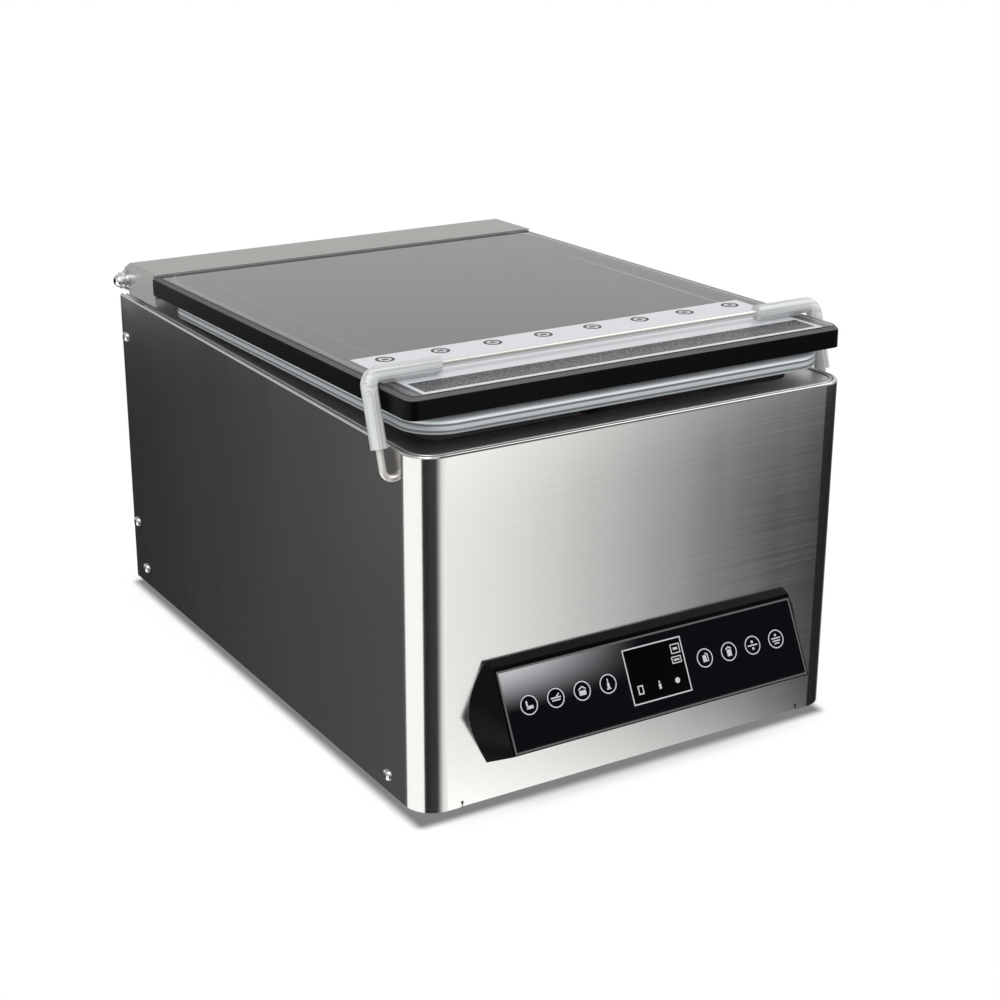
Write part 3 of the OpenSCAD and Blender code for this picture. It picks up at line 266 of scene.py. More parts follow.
def smoked_clear(name, tone):
    """Smoked cast acrylic that passes a little light through its faces; two pale outlines painted
    on its top stand in for the lit seal seen through it, stronger to the right. Its sawn sides are
    painted black as shade for the light that runs out of them inwards, and its bevel is a paler
    line, a painted highlight. Sides, bevel and outlines are found by distance from rounded
    rectangles."""
    p = new_paint(name)
    x, y, z = p.closed_lid()

    def beyond(half, front, back, radius):
        across = (x.size() - (half - radius)).high(0.0)
        along = ((front + radius) - y).high(y - (back - radius)).high(0.0)
        return (across * across + along * along).root() - radius

    cloud = p.noise((14, 14, 14), 3)
    wipe = p.noise((60, 9, 60), 2)
    clear = p.shader(Base_Color=p.mix(cloud, [c * 0.92 for c in tone], tone), IOR=1.49,
                     Transmission_Weight=0.60, Roughness=wipe * 0.02 + 0.02)
    top = z > LID_TOP - 0.0002
    # Painted light: both outlines are stronger to the right, and the inner one fades towards the
    # back
    to_right, to_back = x.step(-0.05, 0.12), y.step(0.0, 0.10)
    outer = 1.0 - beyond(*OUTER_OUTLINE).size().step(0.0003, 0.0015)
    outer = outer * (to_right * 0.30 + 0.20)
    inner = 1.0 - beyond(*INNER_OUTLINE).size().step(0.0002, 0.0012)
    inner = inner * (to_right * (1.0 - to_back) * 0.30 + 0.10)
    # The outlines' pale grey, painted light for the seal seen through the lid
    painted_seal_light = p.shader(Base_Color=grey(0.62, -0.02), Roughness=0.12)
    seen = p.add("MixShader", None, {0: top * (outer + inner), 1: clear, 2: painted_seal_light})
    out = beyond(LID_HALF, LID_FRONT, LID_BACK, LID_CORNER)
    # Painted shade and highlight: the sides are near black and the bevel a paler grey
    side = out > -0.0003
    bevel = (z > LID_TOP - LID_BEVEL + 0.0002) * (out > 0.0001 - LID_BEVEL) * (z < LID_TOP - 0.0001)
    saw = p.noise((900, 900, 40), 3, 0.6)
    painted_edge_shade_and_highlight = p.shader(Base_Color=p.mix(bevel, p.mix(saw, grey(0.0006), grey(0.0030)), grey(0.19)),
                      Roughness=bevel * 0.15 + saw * 0.1 + 0.20, Specular_IOR_Level=0.06)
    both = p.add("MixShader", None, {0: side.high(bevel), 1: seen, 2: painted_edge_shade_and_highlight})
    p.add("OutputMaterial", None, {"Surface": both})
    return p.owner


# Painted light and shade on the seal by its height, from 0 at its foot to 1 at the lid
SEAL_PAINTED_SHADING = ((0.0, 0.34), (0.09, 0.50), (0.14, 0.13), (0.20, 0.13), (0.26, 0.60), (0.41, 0.56),
              (0.46, 0.16), (0.53, 0.16), (0.57, 1.0), (0.66, 1.0), (0.71, 0.44), (0.80, 0.22),
              (1.0, 0.10))


def silicone(name, tone):
    """Milky hollow seal with painted light and shade: pale bands where the wall bulges, painted
    shade in the hollows between them and deep under the lid, and a painted highlight line on the
    shoulder.
    The bands go by height on the lid."""
    p = new_paint(name)
    z = p.closed_lid()[2]
    height = (z - (LID_UNDER - SEAL_HEIGHT)) / SEAL_HEIGHT
    stops = [(at, [min(1, level * c) for c in tone]) for at, level in SEAL_PAINTED_SHADING]
    painted_shading = p.add("ValToRGB", {"stops": stops}, {0: height})
    flow = p.noise((14, 14, 1500), 2)
    cloud = p.noise((50, 50, 90), 3)
    # A cloud of darker tone over the painted light and shade
    worn = p.mix(cloud * 0.22, painted_shading, [c * 0.55 for c in tone])
    return p.shade(Base_Color=worn, Roughness=(flow - 0.5) * 0.1 + 0.20, IOR=1.42,
                   Subsurface_Weight=0.08, Subsurface_Scale=0.001,
                   Normal=p.bump(flow, 0.05, 0.0003))


def clear_hose(name):
    """Clear vinyl sleeve with painted streaks of light, some bluish and some warm, for the light it
    bends. They run across the machine on its level part and along its leaning legs."""
    p = new_paint(name)
    x, y, z = p.xyz()
    s, c = math.sin(BAIL_LEAN), math.cos(BAIL_LEAN)
    along, across = y * s + z * c, y * c - z * s
    leg_place = p.add("CombineXYZ", None, {0: x * 650.0, 1: across * 650.0, 2: along * 7.0})
    leg = 1.0 - z.step(0.285, 0.293)                   # 1 below the wire's upper bends
    upright = p.add("TexNoise", None, {"Vector": leg_place, "Scale": 1.0, "Detail": 3.0})
    level_run = p.noise((8, 650, 650), 3)
    # Painted highlights: the streaks lighten the sleeve's colour
    streak = (level_run * (1.0 - leg) + upright * leg).step(0.42, 0.58)
    hue = p.noise((260, 260, 60), 2)
    pale = p.mix(hue, (0.88, 0.95, 1.0), (1.0, 0.99, 0.94))
    return p.shade(Base_Color=p.mix(streak, [c * 0.76 for c in (0.93, 0.94, 0.93)], pale), IOR=1.5,
                   Transmission_Weight=0.30, Roughness=streak * 0.05 + 0.05,
                   Normal=p.bump(streak, 0.15, 0.0005))


def overlay_film(name):
    """Black gloss film with a painted sheen that fades from silver at its upper left to black."""
    p = new_paint(name)
    x, _, z = p.xyz()
    rise, width = FACE_HEIGHT * math.cos(FACE_LEAN), 0.24
    up = z * (1 / rise) - FACE_FOOT[2] / rise
    left = x * (-1 / width) + 0.5
    # Painted sheen: the colour turns from black to silver towards the upper left
    fade = up.step(0.45, 1.05) * left.step(0.52, 1.02)
    dust = p.noise((500, 500, 500), 3)
    return p.shade(Base_Color=p.mix(fade, (0.004, 0.004, 0.006), (0.62, 0.63, 0.66)),
                   Roughness=dust * 0.04 + 0.06, Coat_Weight=0.2, Coat_Roughness=0.03,
                   Specular_IOR_Level=0.3, Normal=p.bump(dust, 0.01, 0.0002))


def printed(name, tone):
    """Screen-printed ink: nearly even, with a faint mottle."""
    p = new_paint(name)
    mottle = p.noise((900, 900, 900), 3)
    return p.shade(Base_Color=p.mix(mottle, [c * 0.9 for c in tone], tone),
                   Roughness=mottle * 0.1 + 0.45)


def film(name, tone, ink, speckle, gloss=0.3, specular=0.5):
    """Printed film under a gloss coat; its ink breaks into specks as the speckle share rises."""
    p = new_paint(name)
    specks = p.noise((1100, 1100, 1100), 2, 0.7)
    cloud = p.noise((60, 60, 60), 3)
    paper = p.mix(cloud, [c * 0.93 for c in tone], tone)
    colour = p.mix(specks.step(0.52, 0.60) * speckle, paper, ink)
    return p.shade(Base_Color=colour, Roughness=cloud * 0.1 + 0.2, Coat_Weight=gloss,
                   Specular_IOR_Level=specular)


def laminated(name, tone):
    """A stack of core sheets seen on edge, with a soft cloud over them."""
    p = new_paint(name)
    x = p.xyz()[0]
    sheets = (x * 9000.0).wave() * 0.5 + 0.5
    cloud = p.noise((50, 50, 50), 3)
    return p.shade(Base_Color=p.mix(sheets * 0.5 + cloud * 0.3, [c * 0.6 for c in tone], tone),
                   Metallic=0.8, Roughness=cloud * 0.2 + 0.4, Normal=p.bump(sheets, 0.2, 0.0003))


def circuit(name):
    """Green board with tracks as the edges of cells."""
    p = new_paint(name)
    mask = p.cell_edges((260, 260, 260)).step(0.02, 0.05)
    cloud = p.noise((90, 90, 90), 2)
    return p.shade(Base_Color=p.mix(mask, (0.09, 0.24, 0.08), (0.03, 0.13, 0.05)),
                   Roughness=cloud * 0.15 + 0.3, Normal=p.bump(mask, 0.1, 0.0002))


def fibre(name, tone):
    """Pressed fibre or filter paper."""
    p = new_paint(name)
    hairs = p.noise((2200, 500, 900), 4, 0.7)
    cloud = p.noise((45, 45, 45), 3)
    return p.shade(Base_Color=p.mix(hairs * 0.7 + cloud * 0.3, [c * 0.7 for c in tone], tone),
                   Roughness=0.85, Normal=p.bump(hairs, 0.3, 0.0005))


def tape(name, tone):
    """Woven, coated glass tape over the heating wire: a small square weave."""
    p = new_paint(name)
    x, y, _ = p.xyz()
    thread = 5200.0
    weave = (x * thread).wave() * (y * thread).wave() * 0.5 + 0.5
    cloud = p.noise((70, 40, 70), 3)
    return p.shade(Base_Color=p.mix(weave * 0.4 + cloud * 0.6, [c * 0.75 for c in tone], tone),
                   Roughness=0.35, Normal=p.bump(weave, 0.2, 0.0002))


def apply_finish(material, *names):
    """Puts one material on CAD nodes."""
    for name in names:
        data = NODES[name].data
        data.materials.clear()
        data.materials.append(material)


# ---------- surfaces ----------

def grid_faces(rows, columns, close_rows, close_columns, start=0):
    """Quads of a rows by columns grid of points, counted from start."""
    i = np.arange(rows if close_rows else rows - 1)
    j = np.arange(columns if close_columns else columns - 1)
    a, b = (m.ravel() for m in np.meshgrid(i, j, indexing="ij"))
    a2, b2 = (a + 1) % rows, (b + 1) % columns
    return start + np.stack([a * columns + b, a2 * columns + b,
                             a2 * columns + b2, a * columns + b2], 1)


def piece(name, sheets, material, body, smooth=True):
    """One object from a list of grids (points, close_rows, close_columns); it rides on a body."""
    points, faces, start = [], [], 0
    for grid, close_rows, close_columns in sheets:
        rows, columns = grid.shape[:2]
        points.append(grid.reshape(-1, 3))
        faces.append(grid_faces(rows, columns, close_rows, close_columns, start))
        start += rows * columns
    points, faces = np.vstack(points), np.vstack(faces)
    mesh = bpy.data.meshes.new(name)
    mesh.vertices.add(len(points))
    mesh.vertices.foreach_set("co", points.astype(np.float32).ravel())
    mesh.loops.add(faces.size)
    mesh.loops.foreach_set("vertex_index", faces.astype(np.int32).ravel())
    mesh.polygons.add(len(faces))
    mesh.polygons.foreach_set("loop_start", np.arange(0, faces.size, 4, dtype=np.int32))
    mesh.polygons.foreach_set("use_smooth", np.full(len(faces), smooth))
    mesh.update(calc_edges=True)
    mesh.validate()
    mesh.materials.append(material)
    made = bpy.data.objects.new(name, mesh)
    bpy.context.scene.collection.objects.link(made)
    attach(made, body)
    return made


def on_face(points):
    """Points (across, up the slope, out of it), in millimetres, onto the sloping key face."""
    u, v, w = (np.asarray(points, float) * MM).reshape(-1, 3).T
    s, c = math.sin(FACE_LEAN), math.cos(FACE_LEAN)
    return FACE_FOOT + np.stack([u, v * s - w * c, v * c + w * s], 1)


def on_lid(points):
    """Points of the closed lid, in metres, turned about the hinge to the lid's rest."""
    p = np.asarray(points, float).reshape(-1, 3) - HINGE
    s, c = math.sin(AJAR), math.cos(AJAR)
    return HINGE + np.stack([p[:, 0], p[:, 1] * c + p[:, 2] * s, p[:, 2] * c - p[:, 1] * s], 1)


def stroke(path, width, closed=False):
    """A flat ribbon of even width along a line of (u, v) points: both rims are the line moved
    along its mitred normal. Returns its two rims as (n, 2, 2)."""
    p = np.asarray(path, float)
    if closed:
        before, after = np.roll(p, 1, 0), np.roll(p, -1, 0)
    else:
        before = np.vstack([p[:1] * 2 - p[1:2], p[:-1]])
        after = np.vstack([p[1:], p[-1:] * 2 - p[-2:-1]])
    d1, d2 = p - before, after - p
    d1 /= np.linalg.norm(d1, axis=1)[:, None]
    d2 /= np.linalg.norm(d2, axis=1)[:, None]
    n1, n2 = d1[:, ::-1] * (-1, 1), d2[:, ::-1] * (-1, 1)
    n = n1 + n2
    n /= np.maximum((n * n1).sum(1), 0.3)[:, None]
    return np.stack([p - n * width / 2, p + n * width / 2], 1)


def ring(radius, count=40):
    """Points of a circle."""
    a = np.arange(count) * 2 * np.pi / count
    return np.stack([np.cos(a), np.sin(a)], 1) * radius


def lifted(flat, height, place):
    """A flat (n, m, 2) sheet at one height, carried by a placing function."""
    n, m = flat.shape[:2]
    flat3 = np.concatenate([flat.reshape(-1, 2), np.full((n * m, 1), height)], 1)
    return place(flat3).reshape(n, m, 3)


def disc_sheet(radius):
    """A flat round dot as rings of points, the innermost too small to see."""
    r = np.array([1e-4, 0.5, 1.0]) * radius
    return r[:, None, None] * ring(1.0, 32)[None]


def round_loop(half_w, y0, y1, radius):
    """A rounded rectangle as points and their outward normals: each corner is an arc, and each
    side is cut evenly."""
    corner, side = 16, 24                              # points of a corner, and cuts of a side
    points, normals = [], []
    centres = [(half_w - radius, y0 + radius, -90), (half_w - radius, y1 - radius, 0),
               (-half_w + radius, y1 - radius, 90), (-half_w + radius, y0 + radius, 180)]
    for k, (cx, cy, start) in enumerate(centres):
        a = np.radians(start + np.linspace(0, 90, corner))
        n = np.stack([np.cos(a), np.sin(a)], 1)
        arc = np.array([cx, cy]) + radius * n
        nx, ny, nstart = centres[(k + 1) % 4]
        b = math.radians(nstart)
        goal = np.array([nx, ny]) + radius * np.array([math.cos(b), math.sin(b)])
        t = np.linspace(0, 1, side + 1)[1:-1, None]
        points += [arc, arc[-1] * (1 - t) + goal * t]
        normals += [n, np.repeat(n[-1:], side - 1, 0)]
    return np.vstack(points), np.vstack(normals)


def swept(profile, points, normals):
    """A closed profile of (outward, up) points carried round a level loop."""
    out, up = np.asarray(profile, float).T
    ring_xy = points[:, None, :] + normals[:, None, :] * out[None, :, None]
    z = np.broadcast_to(up[None, :, None], ring_xy.shape[:2] + (1,))
    return np.concatenate([ring_xy, z], 2)


# ---------- sizes and colours ----------

class SealerSizes(bpy.types.PropertyGroup):
    strip_back: bpy.props.FloatProperty(
        name="Film's back edge", description="Back edge of the white film on the lid",
        default=-0.1235, unit="LENGTH")
    strip_front: bpy.props.FloatProperty(
        name="Film's front edge", description="Front edge of the white film on the lid",
        default=-0.2227, unit="LENGTH")
    mark_ring: bpy.props.FloatProperty(
        name="Mark size", description="Radius of the round marks on the film",
        default=0.0056, unit="LENGTH")
    print_width: bpy.props.FloatProperty(
        name="Line width", description="Width of the printed rings on the keys",
        default=0.0008, unit="LENGTH")


class SealerColours(bpy.types.PropertyGroup):
    steel: bpy.props.FloatVectorProperty(
        name="Steel", description="Brushed stainless sheet",
        default=(0.60, 0.59, 0.575), subtype="COLOR", min=0, max=1)
    smoke: bpy.props.FloatVectorProperty(
        name="Lid", description="Tint of the smoked lid",
        default=(0.12, 0.12, 0.125), subtype="COLOR", min=0, max=1)
    seal: bpy.props.FloatVectorProperty(
        name="Seal", description="Silicone seal",
        default=(0.90, 0.97, 1.0), subtype="COLOR", min=0, max=1)
    ink: bpy.props.FloatVectorProperty(
        name="Print", description="Ink of the key panel's marks",
        default=(0.62, 0.64, 0.66), subtype="COLOR", min=0, max=1)


def sizes():
    return bpy.context.scene.sealer_sizes


def colours():
    return bpy.context.scene.sealer_colours


# ---------- pieces ----------

class SEALER_OT_cabinet(bpy.types.Operator):
    """Folded stainless cabinet, its deck, base, back, feet and screws"""
    bl_idname = "sealer.cabinet"
    bl_label = "Cabinet"

    def execute(self, context):
        steel = tuple(colours().steel)
        apply_finish(brushed("brushed wall", "wall", steel), "cabinet_wrap", "back_panel")
        apply_finish(brushed("brushed deck", "x", [c * 0.85 for c in steel], rough=0.38),
                     "deck_plate")
        apply_finish(brushed("mill steel", "x", [c * 0.9 for c in steel], rough=0.4),
                     "base_plate")
        apply_finish(bright("plated steel"), "cabinet_screws")
        apply_finish(moulded("rubber", grey(0.02), rough=0.65, grain=0.3),
                     "rubber_feet", "pump_mounts")
        return {"FINISHED"}


class SEALER_OT_lid(bpy.types.Operator):
    """Smoked lid, its bars and hinge parts, and the soft seal round its underside"""
    bl_idname = "sealer.lid"
    bl_label = "Lid"

    # The seal's section, outward and up from the lid's underside, in millimetres
    bulb = [(-2.4, 5.0), (2.4, 5.0), (2.5, 0.4), (3.3, -0.2), (4.1, -1.5), (4.7, -3.2),
            (5.0, -4.8), (4.6, -5.9), (3.9, -6.6), (4.4, -7.4), (5.0, -8.8), (4.7, -10.2),
            (4.1, -11.0), (4.6, -11.8), (4.5, -12.7), (3.4, -13.1), (-3.4, -13.1), (-4.6, -12.4),
            (-5.0, -8.0), (-4.6, -2.0), (-3.4, -0.2), (-2.5, 0.4)]

    def execute(self, context):
        apply_finish(smoked_clear("smoked acrylic", tuple(colours().smoke)), "lid_panel")
        # The bar's ends and front get a paler painted light
        bar = brushed("brushed bar", "x", (0.35, 0.338, 0.32), rough=0.30, streak=0.06,
                      painted_edge_light=(0.42, 0.415, 0.40))
        apply_finish(bar, "hinge_bar", "backing_bar")
        apply_finish(bright("bolt steel"), "hinge_bolts", "hinge_brackets", "lid_springs")
        apply_finish(moulded("grey silicone", grey(0.30), rough=0.5, grain=0.1), "backing_pad")
        self.seal()
        return {"FINISHED"}

    def seal(self):
        """Hollow seal: a stem in the lid's groove and a bulb with two hollows along its side, as a
        closed profile carried round a rounded rectangle."""
        half, front, back, corner = 0.162, -0.220, 0.1805, 0.024
        loop, normals = round_loop(half, front, back, corner)
        profile = np.array(self.bulb) * MM + (0, LID_UNDER)
        grid = swept(profile, loop, normals)
        placed = on_lid(grid).reshape(grid.shape)
        milky = silicone("milky silicone", tuple(colours().seal))
        seal = piece("lid_seal", [(placed, True, True)], milky, "lid")
        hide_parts("lid_gasket")


class SEALER_OT_lid_film(bpy.types.Operator):
    """Printed films on the lid: a white one with round marks and a dark speckled strip over it"""
    bl_idname = "sealer.lid_film"
    bl_label = "Lid film"

    # Places on the closed lid's top, in millimetres
    left, right = -162.5, 159.0
    dark_back, dark_front, dark_in = -196.0, -218.4, 3.5
    marks = (-142.0, -99.7, -58.5, -17.5, 23.5, 64.1, 104.0, 145.0)
    mark_in, mark_line = 11.0, 2.1                     # from the film's back edge, ring's width
    dashes = (([(-2.2, 1.6), (2.2, 1.6)], 1.2), ([(-2.6, -0.8), (2.6, -0.8)], 2.0))

    def execute(self, context):
        back, front = sizes().strip_back / MM, sizes().strip_front / MM
        white = film("white film", (0.70, 0.72, 0.76), (0.55, 0.57, 0.60), 0.12)
        self.strip("bag_film", self.left, self.right, front, back, PRINT_LIFT, white)
        dark = film("dark film", grey(0.012), grey(0.34), 0.6, gloss=0.0, specular=0.3)
        self.strip("bare_film", self.left + self.dark_in, self.right - self.dark_in,
                   self.dark_front, self.dark_back, 2 * PRINT_LIFT, dark)
        rings, lines = [], []
        for x in self.marks:
            at = np.array([x, back - self.mark_in])
            outline = stroke(ring(sizes().mark_ring / MM) + at, self.mark_line, True)
            rings.append((lifted(outline, 2 * PRINT_LIFT, self.place), True, False))
            for path, width in self.dashes:
                dash = stroke(np.array(path) + at, width)
                lines.append((lifted(dash, 2 * PRINT_LIFT, self.place), False, False))
        piece("film_marks", rings + lines, printed("film ink", grey(0.035)), "lid", False)
        return {"FINISHED"}

    @staticmethod
    def place(p):
        """Points (across, back, above the lid's top), in millimetres, onto the resting lid."""
        return on_lid(np.stack([p[:, 0] * MM, p[:, 1] * MM, LID_TOP + p[:, 2] * MM], 1))

    def strip(self, name, left, right, front, back, height, material):
        sheet = np.array([[(left, front), (right, front)], [(left, back), (right, back)]], float)
        piece(name, [(lifted(sheet, height, self.place), False, False)], material, "lid", False)


class SEALER_OT_bail(bpy.types.Operator):
    """Bent wire bail with its clear sleeves and bushes, and the lid's switch"""
    bl_idname = "sealer.bail"
    bl_label = "Bail"

    def execute(self, context):
        wire = bright("bail wire", (0.78, 0.76, 0.73), rough=0.26, metallic=0.6, dents=0.004)
        apply_finish(wire, "bail_wire")
        apply_finish(clear_hose("clear sleeve"), "bail_sleeves")
        apply_finish(moulded("black bush", grey(0.015)), "bail_bushes", "lid_switch")
        apply_finish(moulded("red plunger", (0.35, 0.03, 0.02)), "lid_switch_plunger")
        return {"FINISHED"}


class SEALER_OT_keypad(bpy.types.Operator):
    """Sloping panel: moulded frame, gloss film, dark window, keys and all printed marks"""
    bl_idname = "sealer.keypad"
    bl_label = "Key panel"

    # The lines of each key's sign: points from the key's middle and the line's width, millimetres
    glyphs = [
        [([(-1.6, 3.0), (-1.6, -2.2)], 1.3), ([(-2.2, -1.6), (3.0, -1.6)], 2.2)],
        [([(-4.0, 0.2), (4.0, 0.2)], 1.0), ([(0.6, 0.7), (3.0, 2.8)], 0.9),
         ([(-3.2, -1.5), (3.4, -1.5)], 0.9)],
        [([(-2.6, -1.4), (2.8, -1.4)], 3.2), ([(-2.8, 0.9), (0.2, 2.8), (3.0, 1.0)], 0.9)],
        [([(0.0, -3.2), (0.0, 0.4)], 1.9), ([(0.0, 0.4), (0.0, 3.6)], 0.9),
         ([(-1.7, -3.3), (1.7, -3.3)], 0.9)],
        [([(-0.2, -2.8), (-0.2, 2.0)], 3.0),
         ([(1.6, -2.4), (2.6, -2.4), (2.6, 2.4), (0.6, 3.2)], 0.8)],
        [([(0.2, -3.2), (0.2, 1.4)], 3.8), ([(-2.4, 2.0), (0.0, 3.2), (2.4, 2.0)], 1.0)],
        [([(-4.2, 0.0), (4.2, 0.0)], 0.9), ([(-0.9, 2.4), (0.9, 2.4)], 1.7),
         ([(-0.9, -2.4), (0.9, -2.4)], 1.7)],
        [([(-4.0, 0.6), (4.0, 0.6)], 0.9), ([(-0.9, 2.8), (0.9, 2.8)], 1.5),
         ([(-3.4, -1.3), (3.4, -1.3)], 0.9), ([(-2.2, -3.1), (2.2, -3.1)], 0.9)],
    ]
    # Outlines round the window and in it (middle, width and height, line), and its short lines
    boxes = (((0, KEY_V), (48.0, 37.8), 0.9), ((18.4, 42.0), (7.0, 6.0), 0.7),
             ((17.6, 34.4), (7.4, 4.2), 0.7), ((-16.4, 20.5), (3.6, 5.4), 0.9))
    dashes = (([(16.6, 42.0), (20.2, 42.0)], 1.6), ([(15.2, 34.4), (20.0, 34.4)], 1.2),
              ([(-0.5, 17.8), (-0.5, 21.4)], 2.0), ([(-0.5, 22.0), (-0.5, 23.4)], 1.2))
    dot, dot_at = 2.0, (14.4, 20.5)
    film_box = ((0.5, 28.6), (244.0, 54.4), 1.3)       # fine line round the film's edge
    key_ring = 6.3                                     # radius of the ring on each key

    def execute(self, context):
        shell = moulded("frame plastic", (0.0012, 0.0012, 0.0015), rough=0.30, grain=0.05,
                        specular=0.06)
        apply_finish(shell, "control_bezel")
        self.hood(shell)
        apply_finish(overlay_film("panel film"), "control_overlay")
        gloss = moulded("key gloss", (0.002, 0.002, 0.004), rough=0.08, grain=0.01,
                        coat=0.2, specular=0.3)
        apply_finish(gloss, *["key_%d" % (i + 1) for i in range(len(KEY_ROW))])
        window = moulded("window tint", grey(0.001), rough=0.07, grain=0.005,
                         coat=0.2, specular=0.3)
        apply_finish(window, "display_window")
        apply_finish(circuit("panel board"), "keypad_board", "display_module")
        ink = printed("panel ink", tuple(colours().ink))
        self.keys(ink)
        self.lines(ink)
        return {"FINISHED"}

    def hood(self, material):
        """Moulded hood as one closed skin. Each row is a loop: down one end, along the foot, up the
        other end and back along the top; at a share f of the way down, an end bulges outwards by
        the sine of f's turn. Rows run from the rim on the cabinet out to the face's edge, over the
        frame, into the pocket and back inside the wall, with close rows at the ridges."""
        half, tall, bulge, frame_in, wall = 124.0, FACE_HEIGHT / MM, 13.8, 3.0, 2.5
        crest, foot, front = 108.5, 34.0, PANEL_Y / MM
        down = np.concatenate([[0, 0.008], np.linspace(0.03, 0.97, 44), [0.992, 1]])
        run = np.array([0.995, 0.97, 0.8, 0.5, 0.2, -0.2, -0.5, -0.8, -0.97, -0.995])
        hand = np.concatenate([np.ones_like(down), run, -np.ones_like(down), -run])
        f = np.concatenate([down, np.ones_like(run), down[::-1], np.zeros_like(run)])

        def rim(t):
            x = hand * (half - t + (bulge - t / 2) * np.sin(np.pi * f ** 0.85))
            z = (crest - t) * (1 - f) + (foot + 1.2 * t) * f
            return np.stack([x, np.full_like(x, front), z], 1) * MM

        def edge(t, w):
            return on_face(np.stack([hand * (half - t), t + (tall - 2 * t) * (1 - f),
                                     np.full_like(f, w)], 1))

        corners = [rim(0), edge(0, 0), edge(frame_in, 0), edge(frame_in, -wall - 1), rim(wall)]
        rows = []
        stops = [(0, 0.03, 0.2, 0.4, 0.6, 0.8, 0.985), (0, 0.12, 0.85)] + [(0, 0.1, 0.9)] * 3
        for a, b, shares in zip(corners, corners[1:] + corners[:1], stops):
            rows += [a * (1 - t) + b * t for t in shares]
        made = piece("panel_hood", [(np.stack(rows), True, True)], material, "cabinet")
        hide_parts("control_bezel")

    def keys(self, ink):
        width = sizes().print_width / MM
        for i, (x, glyph) in enumerate(zip(KEY_ROW, self.glyphs)):
            at = np.array([x, KEY_V])
            sheets = [self.flat(stroke(ring(self.key_ring) + at, width, True), True)]
            sheets += [self.flat(stroke(np.array(path) + at, wide)) for path, wide in glyph]
            piece("key_mark_%d" % (i + 1), sheets, ink, "key_%d" % (i + 1), False)

    def lines(self, ink):
        """Window outline, the small signs in the window and the film's fine edge line."""
        sheets = [self.box(*shape) for shape in self.boxes]
        sheets += [self.flat(stroke(path, wide)) for path, wide in self.dashes]
        sheets.append(self.flat(disc_sheet(self.dot) + self.dot_at, False, True))
        piece("window_marks", sheets, ink, "cabinet", False)
        edge = printed("edge line", grey(0.11))
        piece("film_edge", [self.box(*self.film_box)], edge, "cabinet", False)

    @staticmethod
    def flat(shape, close_rows=False, close_columns=False):
        """One printed sheet of a piece, just above the face."""
        return lifted(shape, PRINT_LIFT, on_face), close_rows, close_columns

    def box(self, middle, size, line):
        """A rectangular outline."""
        (u, v), (w, h) = middle, size
        path = [(u - w / 2, v - h / 2), (u + w / 2, v - h / 2),
                (u + w / 2, v + h / 2), (u - w / 2, v + h / 2)]
        return self.flat(stroke(path, line, True), True)


class SEALER_OT_chamber(bpy.types.Operator):
    """Drawn chamber, its filler and port, and the seal bar with its lift"""
    bl_idname = "sealer.chamber"
    bl_label = "Chamber"

    def execute(self, context):
        steel = tuple(colours().steel)
        drawn = brushed("chamber steel", "x", steel, rough=0.3, streak=0.06)
        apply_finish(drawn, "vacuum_chamber", "vacuum_port")
        apply_finish(moulded("white filler", grey(0.72), rough=0.45, grain=0.15), "filler_plate")
        aluminium = cast("drawn aluminium", (0.66, 0.66, 0.67), rough=0.35)
        apply_finish(aluminium, "seal_bar", "lift_cylinders")
        apply_finish(tape("coated tape", (0.42, 0.26, 0.13)), "heating_strip")
        apply_finish(bright("ground rod"), "lift_posts")
        return {"FINISHED"}


class SEALER_OT_pump(bpy.types.Operator):
    """Pump, motor, valves, boards and hoses inside the cabinet"""
    bl_idname = "sealer.pump"
    bl_label = "Pump and electrics"

    def execute(self, context):
        painted = cast("painted motor", (0.11, 0.14, 0.18), rough=0.5, metallic=0.0)
        apply_finish(painted, "motor_housing", "fan_cowl")
        apply_finish(cast("cast pump", (0.55, 0.55, 0.56), rough=0.5), "pump_head", "pump_rotor")
        apply_finish(bright("turned shaft"), "motor_shaft")
        apply_finish(moulded("fan plastic", grey(0.03), rough=0.5), "motor_fan")
        apply_finish(fibre("filter paper", (0.72, 0.70, 0.62)), "exhaust_filter")
        apply_finish(laminated("core and coil", (0.40, 0.22, 0.12)), "transformer")
        apply_finish(cast("valve alloy", (0.60, 0.60, 0.62), rough=0.4), "valve_block")
        apply_finish(moulded("coil plastic", grey(0.02), rough=0.4), "solenoid_coils")
        apply_finish(circuit("control board"), "control_board")
        rubber = moulded("black hose", grey(0.018), rough=0.55, grain=0.2)
        apply_finish(rubber, "chamber_hose", "lift_hoses")
        return {"FINISHED"}


class SEALER_OT_back(bpy.types.Operator):
    """Mains inlet and rocker on the back"""
    bl_idname = "sealer.back"
    bl_label = "Back fittings"

    def execute(self, context):
        inlet = moulded("inlet plastic", grey(0.016), rough=0.42, grain=0.15)
        apply_finish(inlet, "power_inlet", "switch_housing")
        rocker = moulded("rocker plastic", grey(0.02), rough=0.3, grain=0.05, coat=0.2)
        apply_finish(rocker, "power_rocker")
        return {"FINISHED"}


# ---------- stage ----------

